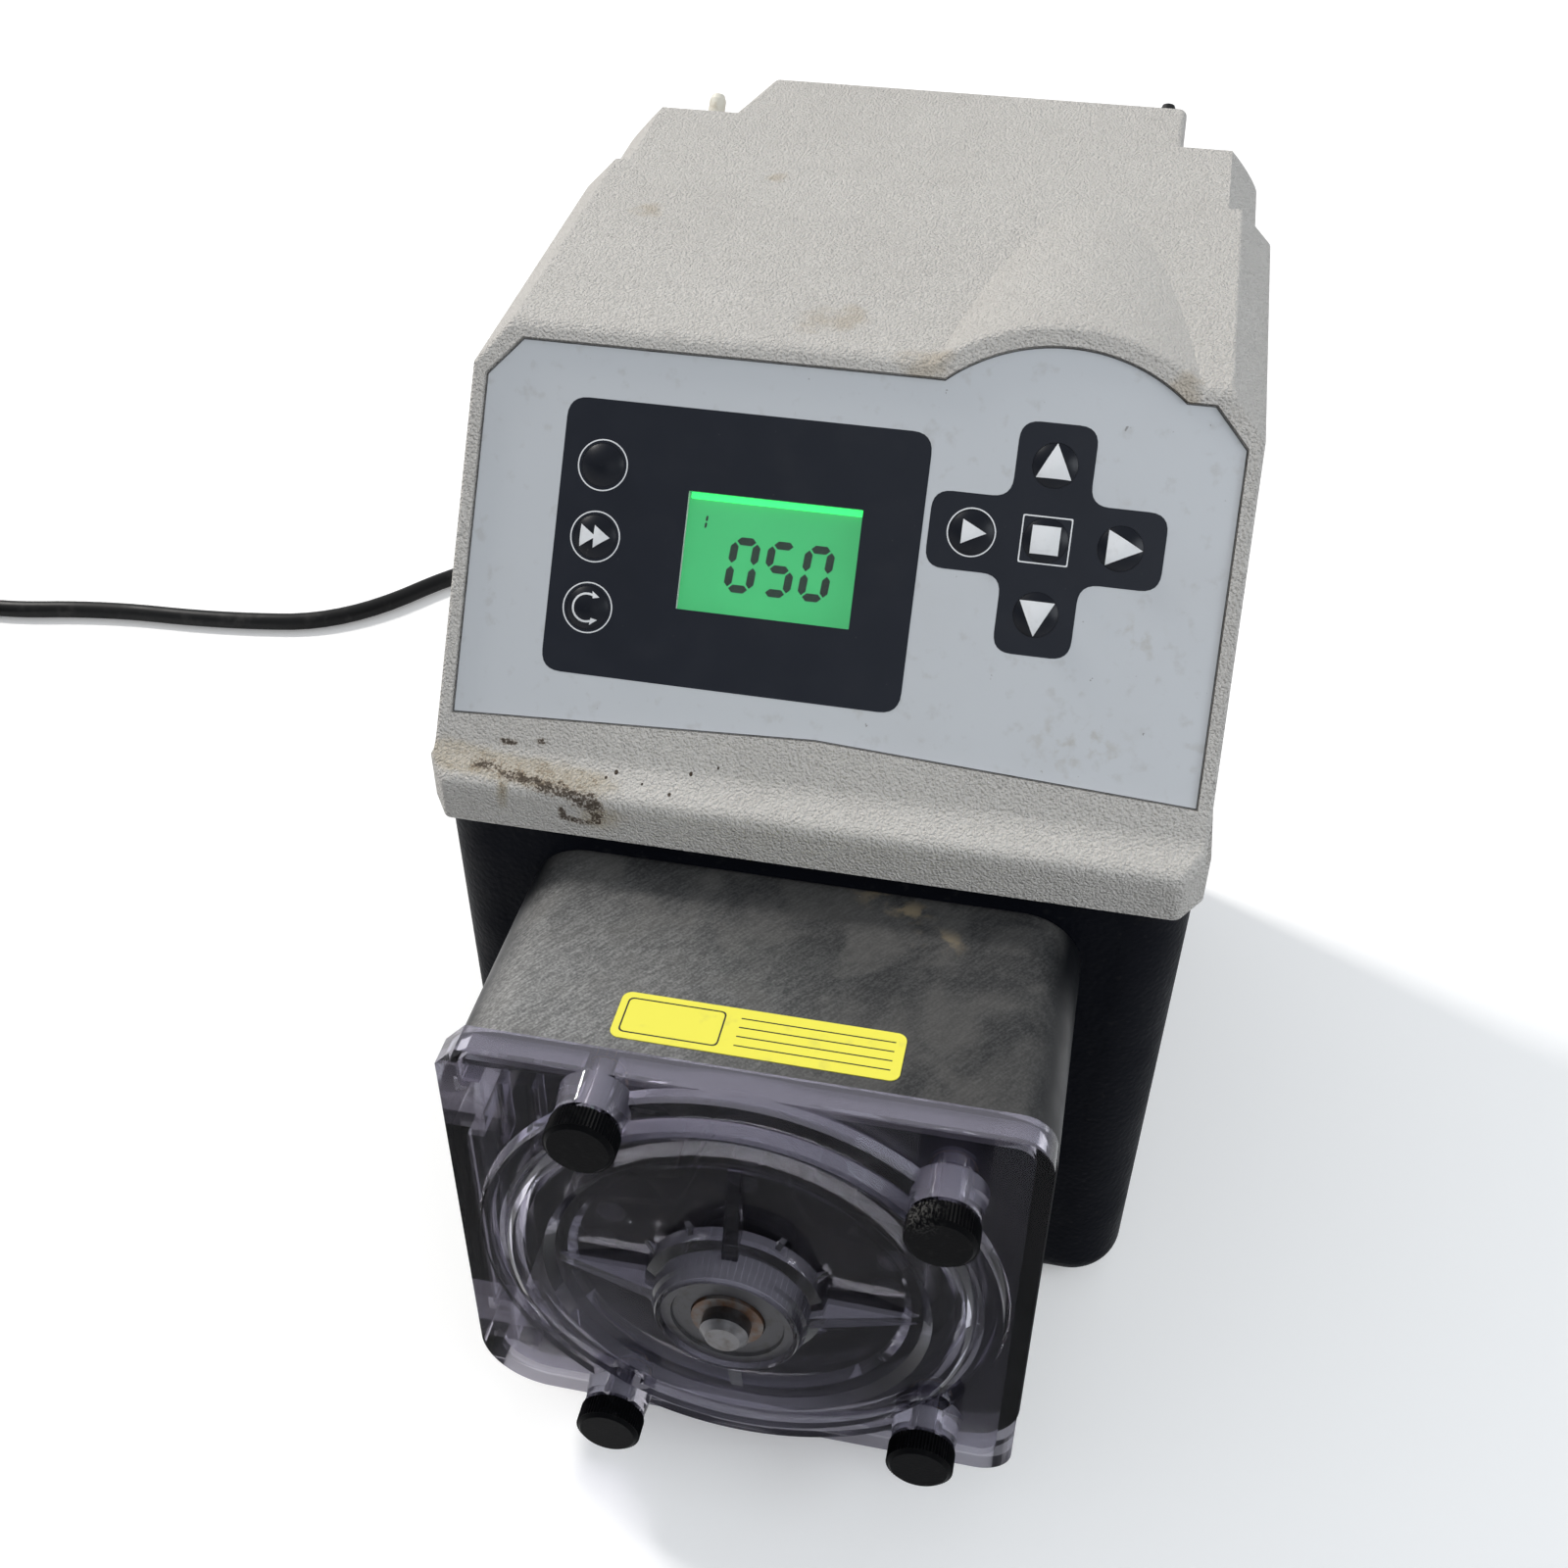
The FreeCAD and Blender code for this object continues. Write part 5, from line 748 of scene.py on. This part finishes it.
# %% Rings and the square frame
RING_R = 6.8
START_RING_R = 6.3
RING_WIDE = 0.34
STOP_FRAME_HALF = (6.35, 6.1)
STOP_FRAME_ROUND = 0.5
ring_loops = []
for key, radius in [(name, RING_R) for name in left_keys] + [("start_button", START_RING_R)]:
    ring_loops += [circle_loop(*keys[key], radius), circle_loop(*keys[key], radius - RING_WIDE)]
stop_u, stop_v = keys["stop_button"]
for shrink in (0, RING_WIDE):
    half_u, half_v = (half - shrink for half in STOP_FRAME_HALF)
    ring_loops.append(box_loop(stop_u - half_u, stop_u + half_u, stop_v - half_v, stop_v + half_v,
                               STOP_FRAME_ROUND))
flat_print("white_rings", ring_loops, PRINT_THICK, white_ink)

# %% [markdown]
# Icons on the domed keys
#
# The icons lie on domes, so they can't be flat. Each is laid out as small grids of points in the
# panel's frame, and every point is then lifted to the dome's height there: the ball's radius squared
# less the distance squared, under a root, less the ball's depth. A thin wall is added inwards.

# %% Grids lifted on a dome
DOME_R = (KEY_R ** 2 + KEY_DOME ** 2) / (2 * KEY_DOME)
ICON_LIFT = 0.08
ICON_THICK = 0.06
PATCH_STEPS = 7
ARC_ROWS = 3
ARC_STEPS = 25


def dome_height(du, dv):
    """Height of a key's dome at a distance from its middle."""
    inside = np.maximum(DOME_R ** 2 - du ** 2 - dv ** 2, 0)
    return np.sqrt(inside) + KEY_DOME - DOME_R


def quad_patch(a, b, c, d):
    """Points inside four corners: each is mixed from the corners by s along and t across."""
    s, t = np.meshgrid(np.linspace(0, 1, PATCH_STEPS), np.linspace(0, 1, PATCH_STEPS), indexing="ij")
    s = s[..., None]
    t = t[..., None]
    a, b, c, d = (np.array(corner, float) for corner in (a, b, c, d))
    return (1 - s) * (1 - t) * a + s * (1 - t) * b + s * t * c + (1 - s) * t * d


def triangle_patches(a, b, c):
    """A triangle as three four-cornered patches that meet in its middle."""
    a, b, c = (np.array(corner, float) for corner in (a, b, c))
    middle = (a + b + c) / 3
    ab = (a + b) / 2
    bc = (b + c) / 2
    ca = (c + a) / 2
    return [quad_patch(a, ab, middle, ca), quad_patch(b, bc, middle, ab), quad_patch(c, ca, middle, bc)]


def arc_patch(radius, wide, start, end):
    """Part of a ring: radius and angle grow evenly over the grid."""
    r, angle = np.meshgrid(np.linspace(radius - wide / 2, radius + wide / 2, ARC_ROWS),
                           np.radians(np.linspace(start, end, ARC_STEPS)), indexing="ij")
    return np.stack([r * np.cos(angle), r * np.sin(angle)], axis=-1)


def key_icon(name, key, patches):
    """One icon on one key, joined from its patches and moving with the key."""
    u, v = keys[key]
    points = []
    faces = []
    first = 0
    for patch in patches:
        rows, columns = patch.shape[:2]
        du, dv = patch.reshape(-1, 2).T
        points.append(np.c_[u + du, v + dv, dome_height(du, dv) + ICON_LIFT])
        corner = (first + np.arange(rows - 1)[:, None] * columns + np.arange(columns - 1)).ravel()
        faces.append(np.c_[corner, corner + columns, corner + columns + 1, corner + 1])
        first += rows * columns
    mesh = bpy.data.meshes.new(name)
    mesh.from_pydata((np.vstack(points) * MM).tolist(), [], np.vstack(faces).tolist())
    cleaned(mesh, sheet=True)
    mesh.transform(TO_PANEL)
    piece = new_piece(name, mesh, icon_white)
    wall = piece.modifiers.new("thickness", "SOLIDIFY")
    wall.thickness = ICON_THICK * MM
    wall.offset = -1
    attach(piece, key)


# %% The white icons
ARROW = ((5.6, 0.0), (-3.35, 4.5), (-3.35, -4.5))
ARROW_ICONS = (("up", 90, 1.0), ("down", -90, 1.0), ("right", 0, 1.0), ("start", 0, 0.70))
STOP_SQUARE = ((-3.6, -3.6), (3.6, -3.6), (3.6, 3.6), (-3.6, 3.6))
FAST_LEFT = ((-3.9, -3.0), (0.7, 0.0), (-3.9, 3.0))
FAST_RIGHT = ((0.0, -3.0), (4.2, 0.0), (0.0, 3.0))
RESET_ARC = (3.7, 0.55, 68, 292)
RESET_TIP = ((1.1, 4.5), (1.5, 2.6), (3.2, 3.0))


def turned(corners, degrees):
    """Corners turned about the middle: each goes to x cos - y sin and x sin + y cos."""
    angle = math.radians(degrees)
    turn = np.array(((math.cos(angle), math.sin(angle)), (-math.sin(angle), math.cos(angle))))
    return [np.array(corner) @ turn for corner in corners]


for way, degrees, size in ARROW_ICONS:
    arrow = turned([np.array(corner) * size for corner in ARROW], degrees)
    key_icon(way + "_icon", way + "_button", triangle_patches(*arrow))
key_icon("stop_icon", "stop_button", [quad_patch(*STOP_SQUARE)])
key_icon("fast_icon", "fast_button", triangle_patches(*FAST_LEFT) + triangle_patches(*FAST_RIGHT))
round_patches = [arc_patch(*RESET_ARC)]
for side in (1, -1):
    round_patches += triangle_patches(*[(u, side * v) for u, v in RESET_TIP])
key_icon("reset_icon", "reset_button", round_patches)
print("icons drawn")

# %% [markdown]
# Keys
#
# The keys are dark domes of the same film. They are smoother than the ink round them and show a soft
# highlight, with a little dust.

# %% Key plastic
key_dark = Finish("key_dark", (0.0040, 0.0055, 0.0105), 0.33, shine=0.22)
key_dark.grain(0.0005, 0.00002, 0.5)
key_dark.blots(0.0016, 6.0, 0.66, 0.8, (0.022, 0.022, 0.025))
key_dark.dull(0.005, 4.0, 0.45, 0.7, 0.40)
dress(key_dark, *keys)

# %% [markdown]
# The lit display
#
# Behind a clear lens lies a liquid crystal glass with a green light behind it. It glows almost evenly.
# A bright green line along the top edge is a painted glow: it stands for the inner wall of the
# light's frame, lit from within. A digit is seven slanted bars with pointed ends, of which some are
# lit, printed just above the glass.

# %% Green glass and a painted glow along its top
GLASS_LEVEL = -5.1
GLOW_BAR_HIGH = 1.6
GLOW_BAR_ROUND = 0.3
GLOW_BAR_THICK = 1.2
display = Finish("display_green", (0.020, 0.230, 0.080), 0.30, shine=0.3)
display.put("Emission Color", (0.045, 0.540, 0.165, 1))
display.put("Emission Strength", 0.66)
display.blots(0.02, 3.0, 0.4, 0.7, (0.030, 0.280, 0.100))
dress(display, "display_glass")
# A painted glow: a glowing bar along the window's top edge stands for the lit inner wall of the light's
# frame.
painted_glow_finish = Finish("display_painted_glow", (0.05, 0.80, 0.20), 0.3)
painted_glow_finish.put("Emission Color", (0.02, 1.0, 0.14, 1))
painted_glow_finish.put("Emission Strength", 1.6)
window_left, window_right, _, window_top = WINDOW
bar_outline = box_loop(window_left, window_right, window_top - GLOW_BAR_HIGH, window_top,
                       GLOW_BAR_ROUND)
flat_print("painted_glow_bar", [bar_outline], GLASS_LEVEL, painted_glow_finish,
           thick=GLOW_BAR_THICK)

# %% Seven bars to a digit
DIGIT_SLANT = 0.08
BAR_GAP = 0.35
SEGMENTS = {"a": (0, 1, 0), "b": (0.5, 0.5, 90), "c": (0.5, -0.5, 90), "d": (0, -1, 0),
            "e": (-0.5, -0.5, 90), "f": (-0.5, 0.5, 90), "g": (0, 0, 0)}
LIT = {"0": "abcdef", "1": "bc", "5": "afgcd"}


def bar_loop(u, v, long, wide, degrees):
    """A bar with pointed ends: a flat hexagon along its own length."""
    half = long / 2
    tip = wide / 2
    corners = [(-half, 0), (-half + tip, -tip), (half - tip, -tip),
               (half, 0), (half - tip, tip), (-half + tip, tip)]
    return np.array(turned(corners, degrees)) + np.array((u, v))


def digit_loops(digit, u, v, wide, high, bar):
    """The lit bars of one digit, centred on a place and leaning to the right."""
    loops = []
    for letter in LIT[digit]:
        across, up, turn = SEGMENTS[letter]
        long = (high / 2 if turn else wide) - BAR_GAP * bar
        loop = bar_loop(across * wide, up * high / 2, long, bar, turn)
        loop[:, 0] += loop[:, 1] * DIGIT_SLANT
        loops.append(loop + np.array((u, v)))
    return loops


# %% The digits
LARGE = (47.9, 5.9, 12.6, 2.1)
SMALL = (58.2, 1.4, 3.6, 0.6)
liquid = Finish("display_digits", (0.006, 0.030, 0.016), 0.4, shine=0.1)
liquid.blots(0.004, 3.0, 0.4, 0.7, (0.009, 0.042, 0.023))
digit_shapes = []
for digit, digit_u, size in (("0", -25.6, LARGE), ("5", -15.6, LARGE), ("0", -5.7, LARGE),
                             ("1", -37.2, SMALL)):
    digit_shapes += digit_loops(digit, digit_u, *size)
flat_print("display_digits", digit_shapes, GLASS_LEVEL, liquid)

# %% The diffuser's frame
diffuser = Finish("diffuser_white", (0.70, 0.80, 0.72), 0.5)
diffuser.relief(diffuser.noise(0.001, 2.0), 0.00005)
diffuser.blots(0.01, 3.0, 0.4, 0.7, (0.62, 0.74, 0.65))
dress(diffuser, "display_module")

# %% [markdown]
# Panes that let light through
#
# A clear piece bends what is seen through it, and light has to pass through it to what lies behind.
# The renderer treats the shadow of a pane as solid unless it is told otherwise, so a shadow ray is
# let straight through. Real panes are never quite clean: a thin coat of dust with finer and coarser
# patches is mixed in, and the thick clear cover has a faint violet body colour. On the cover's upward
# faces the pale layer is thicker: there it is partly dust and partly a painted reflection of the sky.

# %% Let light through a pane, and dust it
ACRYLIC_BEND = 1.49


def pane(name, colour, rough):
    """A clear finish that bends light as acrylic does."""
    finish = Finish(name, colour, rough)
    finish.put("Transmission Weight", 1.0)
    finish.put("IOR", ACRYLIC_BEND)
    return finish


def open_to_light(finish, dust_and_sheen_colour, dust_and_sheen_mask, shade, plain_view=0.0):
    """Mixes a pale diffuse layer over a clear finish and lets shadow rays pass, tinted by shade.

    The layer is dust, and on the cover's upward faces partly a painted reflection of the sky. Where
    plain_view is 1, the finish is seen straight through, without a reflection.
    """
    clear_path = finish.add("BsdfTransparent", {"Color": (*shade, 1)})[0]
    dust_and_sheen_layer = finish.add("BsdfDiffuse", {"Color": (*dust_and_sheen_colour, 1)})[0]
    look = finish.shader.outputs[0]
    shadow = finish.add("LightPath", {})["Is Shadow Ray"]
    for share, cover in ((plain_view, clear_path), (dust_and_sheen_mask, dust_and_sheen_layer), (shadow, clear_path)):
        look = finish.add("MixShader", {0: share, 1: look, 2: cover})[0]
    wire(finish.tree, look, finish.tree.nodes["Material Output"].inputs["Surface"])


lens = pane("display_lens", (0.96, 0.97, 0.98), 0.04)
open_to_light(lens, (0.4, 0.4, 0.4), 0.008, (0.95, 0.95, 0.95))
dress(lens, "display_window")

# %% The clear cover
FLAT_VIEW = 0.70
LOOKS_FORWARD = (0.93, 0.985)
COVER_DUST_AND_SHEEN = (0.46, 0.44, 0.52)
# A pale diffuse patch on the lower left of the dish.
PALE_PATCH_PLACES = ((-40.0, -170.0, 64.0, 28.0, 15.0, 28.0),)
clear = pane("clear_cover", (0.625, 0.612, 0.690), 0.035)
clear.put("Specular Tint", (0.18, 0.18, 0.19, 1))
clear.dull(0.015, 5.0, 0.45, 0.75, 0.10)
clear.relief(clear.noise(0.012, 2.0), 0.0003, 0.25)
scratches = clear.ramp(clear.noise(0.0016, 3.0, stretch=(1, 1, 14)), 0.62, 0.75)
# The pale layer: dust in patches and scratches, and a thicker share on the upward faces that is partly
# a painted reflection of the sky on the rim.
dust_and_rim_sheen = 0.003
for share, dust_and_sheen_mask in ((0.010, clear.patches(0.02, 6.0, 0.4, 0.75)), (0.018, scratches),
                         (0.06, clear.patches(0.0025, 5.0, 0.68, 0.76)),
                         (0.22, clear.upward(0.3, 0.8)), (0.09, any_spot(clear, PALE_PATCH_PLACES))):
    dust_and_rim_sheen = clear.plus(dust_and_rim_sheen, clear.times(share, dust_and_sheen_mask))
forward = clear.times(clear.add("SeparateXYZ", {0: clear.facing})[1], -1.0)
flat_front = clear.times(FLAT_VIEW, clear.ramp(forward, *LOOKS_FORWARD))
open_to_light(clear, COVER_DUST_AND_SHEEN, dust_and_rim_sheen, (0.71, 0.70, 0.745), flat_front)
dress(clear, "head_cover")

# %% [markdown]
# The roller head
#
# The head is black satin plastic that has been wiped rather than cleaned: dust lies on its top in
# smears, with tan ones towards the housing, and the sides are almost clean. A light grey layer in
# brushed streaks over the top is partly this dust and partly a painted sheen, strongest at the left.

# %% Black satin plastic
TAN_SMEARS = ((21.0, -80.6, 160.5, 12.0, 10.0, 10.0), (39.5, -97.7, 160.5, 10.0, 7.0, 10.0),
              (30.0, -88.0, 160.5, 10.0, 6.0, 10.0))
satin = Finish("satin_black", (0.0060, 0.0065, 0.0080), 0.34, shine=0.14)
satin.soft_edges(0.0010)
satin.grain(0.0007, 0.00003, 0.3)
top_face = satin.upward(0.6, 0.98)
# Painted sheen: the light grey streaks are partly wiped dust and partly a sheen, laid strongest near
# the left of the top.
sheen_left = satin.spot((-0.085, -0.145, 0.155), (0.130, 0.070, 0.060))
hairs = satin.times(0.5, satin.plus(satin.streaks(0.0006, 6, 52), satin.noise(0.0007)))
smears = satin.patches(0.018, 6.0, 0.38, 0.66, twist=0.8)
dust_and_sheen = satin.times(satin.between(0.35, 1.0, satin.ramp(hairs, 0.36, 0.72)),
                    satin.between(0.18, 1.0, sheen_left))
dust_and_sheen = satin.times(dust_and_sheen, satin.between(0.75, 1.15, smears))
satin.layer(satin.times(top_face, dust_and_sheen), (0.470, 0.466, 0.456))
satin.layer(satin.times(top_face, smears), (0.085, 0.082, 0.078), 0.55)
tan_smears = satin.times(any_spot(satin, TAN_SMEARS), satin.patches(0.005, 6.0, 0.46, 0.64))
satin.layer(tan_smears, (0.230, 0.185, 0.120), 0.85)
crumbs = satin.times(top_face, satin.patches(0.0014, 4.0, 0.74, 0.78))
satin.layer(crumbs, (0.210, 0.200, 0.185))
satin.dull(0.016, 5.0, 0.4, 0.7, 0.46)
dress(satin, "pump_head")

# %% [markdown]
# The yellow marking plate
#
# The plate on the head is a glossy yellow sticker. It is left as a plain write-on tag: an empty box
# at the left and a few ruled lines beside it.

# %% The tag and its rules
TAG_BOX = (-33.4, -8.4, -144.9, -133.2)
TAG_BOX_ROUND = 1.6
TAG_BOX_LINE = 0.4
TAG_BOX_INNER_ROUND = 1.4
RULE_ENDS = (-4.6, 33.8)
RULE_PLACES = (-143.6, -140.6, -137.6, -134.6)
RULE_HALF = 0.18
RULE_ROUND = 0.05
INK_THICK = 0.03
yellow = Finish("tag_yellow", (0.840, 0.775, 0.085), 0.32)
yellow.blots(0.006, 5.0, 0.55, 0.8, (0.620, 0.560, 0.110), 0.6)
yellow.relief(yellow.noise(0.004, 2.0), 0.00004)
dress(yellow, "head_label")
tag_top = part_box("head_label")[1].z
left, right, front, back = TAG_BOX
inside = (left + TAG_BOX_LINE, right - TAG_BOX_LINE, front + TAG_BOX_LINE, back - TAG_BOX_LINE)
tag_loops = [box_loop(*TAG_BOX, TAG_BOX_ROUND), box_loop(*inside, TAG_BOX_INNER_ROUND)]
for rule in RULE_PLACES:
    tag_loops.append(box_loop(*RULE_ENDS, rule - RULE_HALF, rule + RULE_HALF, RULE_ROUND))
tag_ink = Finish("tag_ink", (0.015, 0.015, 0.014), 0.4)
tag_ink.blots(0.002, 4.0, 0.6, 0.8, (0.05, 0.05, 0.04))
flat_print("tag_rules", tag_loops, 0.0, tag_ink,
           place=Matrix.Translation((0, 0, tag_top)), thick=INK_THICK)

# %% [markdown]
# Thumb screws
#
# The knobs are hard black plastic. Years of fingers and dust leave the ridges greyish, and one knob
# is worn pale on its shoulder.

# %% Knob plastic
knob = Finish("knob_black", (0.0030, 0.0031, 0.0037), 0.40, shine=0.03)
knob.grain(0.0006, 0.00006, 0.8)
knob.blots(0.0022, 5.0, 0.52, 0.74, (0.010, 0.010, 0.010), 0.5)
shoulder = knob.spot((0.046, -0.170, 0.1435), (0.009, 0.010, 0.006))
knob.layer(knob.times(shoulder, knob.patches(0.0007, 5.0, 0.45, 0.62)), (0.090, 0.088, 0.084))
dress(knob, *["thumb_screw_%d" % number for number in range(1, 5)])

# %% [markdown]
# Metal
#
# The shaft and the bearing are the only bright metal in view. The bearing's shield is dull, and rust
# has crept out of the ring round the shaft. Screws, gears, brackets and castings sit inside and get
# the same kinds of finish: turned steel has fine rings, rolled steel a fine grain, and cast metal a
# pebbled skin.

# %% The shaft and its bearings
SHAFT_Z = 0.0889
RUST = (0.090, 0.045, 0.024)


def turned_rings(finish, size):
    """Fine rings round the shaft, which runs along Y: noise on the distance from its axis."""
    look = {"Vector": finish.place, "Location": (0, 0, -SHAFT_Z), "Scale": (1, 0, 1)}
    across = finish.add("Mapping", look)[0]
    away = finish.add("VectorMath", {0: across}, operation="LENGTH")["Value"]
    look = {"W": away, "Scale": 1 / size, "Detail": 3}
    return finish.add("TexNoise", look, noise_dimensions="1D")[0]


shaft = Finish("shaft_steel", (0.120, 0.118, 0.124), 0.34, metal=1.0)
shaft.relief(turned_rings(shaft, 0.0004), 0.00003)
shaft.blots(0.004, 5.0, 0.45, 0.75, (0.060, 0.050, 0.042))
dress(shaft, "drive_shaft")
shield = Finish("bearing_shield", (0.048, 0.047, 0.052), 0.46, metal=0.6)
shield.relief(turned_rings(shield, 0.0005), 0.00003)
shield.blots(0.003, 5.0, 0.5, 0.75, (0.030, 0.028, 0.026))
dress(shield, "cover_bearing_outer", "shaft_bearings", "roller_axles")
inner_ring = Finish("bearing_inner", (0.11, 0.10, 0.095), 0.5, metal=0.5)
inner_ring.blots(0.004, 5.0, 0.30, 0.55, RUST)
inner_ring.relief(inner_ring.noise(0.0012, 4.0), 0.0001)
dress(inner_ring, "cover_bearing_inner")

# %% Screws, gears, brackets and castings
worn("screw_steel", (0.50, 0.49, 0.48), 0.32, (0.0008, 0.00003),
     (0.004, 4.0, 0.5, 0.8, (0.36, 0.34, 0.32)),
     "housing_screws", "gearbox_screws", "leak_sensor_pins", "head_screws", metal=1.0)
worn("gear_steel", (0.38, 0.37, 0.36), 0.38, (0.0006, 0.00004),
     (0.01, 4.0, 0.45, 0.7, (0.24, 0.22, 0.18)),
     "output_gear", "middle_gear", "motor_pinion", metal=1.0)
plate_steel = Finish("zinc_plate", (0.46, 0.46, 0.44), 0.42, metal=1.0)
plate_steel.relief(plate_steel.noise(0.0015, 3.0, stretch=(1, 1, 8)), 0.00004)
plate_steel.blots(0.02, 4.0, 0.45, 0.7, (0.40, 0.38, 0.30))
dress(plate_steel, "motor_bracket")
casting = Finish("cast_aluminium", (0.52, 0.52, 0.52), 0.5, metal=1.0)
casting.relief(casting.pebbles(0.0012), 0.0001, 0.7)
casting.blots(0.015, 4.0, 0.45, 0.7, (0.42, 0.42, 0.41))
dress(casting, "gearbox_case", "gearbox_lid")
worn("motor_paint", (0.020, 0.020, 0.022), 0.4, (0.002, 0.00005),
     (0.01, 5.0, 0.55, 0.8, (0.05, 0.05, 0.05)), "motor_can", "motor_end_cap")
worn("brass", (0.62, 0.44, 0.18), 0.33, (0.0008, 0.00003),
     (0.003, 4.0, 0.5, 0.8, (0.42, 0.30, 0.13)), "thread_inserts", "plug_pins", metal=1.0)

# %% [markdown]
# Rotor and rollers
#
# Behind the cover turns a rotor of two dark plates with brownish wear in patches. It has squeeze
# rollers at its ends and guide rollers between them, of a smoother black.

# %% Rotor finish
worn("rotor_dark", (0.006, 0.006, 0.0065), 0.45, (0.0008, 0.00005),
     (0.006, 5.0, 0.52, 0.78, (0.040, 0.034, 0.028)), "rotor", shine=0.03)
worn("roller_nylon", (0.006, 0.0062, 0.0072), 0.38, (0.0008, 0.00004),
     (0.004, 5.0, 0.5, 0.75, (0.024, 0.023, 0.022)),
     "squeeze_roller_right", "squeeze_roller_left", "guide_roller_top", "guide_roller_bottom",
     shine=0.03)

# %% [markdown]
# Boards, connectors and the lead's fittings
#
# Circuit boards are green lacquer over a woven glass sheet. The rear connectors are black moulded
# sockets, one cap is yellowed white and the other black. The lead, its sleeve, tie and plug are soft
# black plastic with a low sheen.

# %% Boards and small plastics
board = Finish("board_lacquer", (0.020, 0.130, 0.055), 0.3)
weave = board.times(board.noise(0.0009, 1.0, stretch=(1, 12, 12)),
                    board.noise(0.0009, 1.0, stretch=(12, 1, 12)))
board.relief(weave, 0.00005)
board.blots(0.008, 4.0, 0.5, 0.7, (0.030, 0.170, 0.075))
dress(board, "control_board", "power_board")
worn("switch_black", (0.020, 0.020, 0.021), 0.4, (0.0008, 0.00004),
     (0.003, 4.0, 0.55, 0.8, (0.04, 0.04, 0.04)), "tact_switches")
worn("moulded_black", (0.011, 0.011, 0.012), 0.48, (0.0010, 0.00006),
     (0.006, 5.0, 0.55, 0.8, (0.045, 0.044, 0.042)),
     "connector_sockets", "connector_cap_right", "cord_gland", "cord_tie", shine=0.25)
worn("cap_white", (0.72, 0.69, 0.60), 0.45, (0.0012, 0.00005),
     (0.004, 5.0, 0.5, 0.75, (0.50, 0.45, 0.36)), "connector_cap_left")

# %% The lead's own plastic
lead_black = worn("lead_black", (0.0100, 0.0100, 0.0105), 0.42, (0.0012, 0.00004),
                  (0.008, 5.0, 0.50, 0.8, (0.038, 0.037, 0.036)),
                  "plug_body", "cord_strain_relief", shine=0.20)
lead_black.dull(0.02, 3.0, 0.4, 0.7, 0.55)
lead_curve.materials.append(lead_black.material)
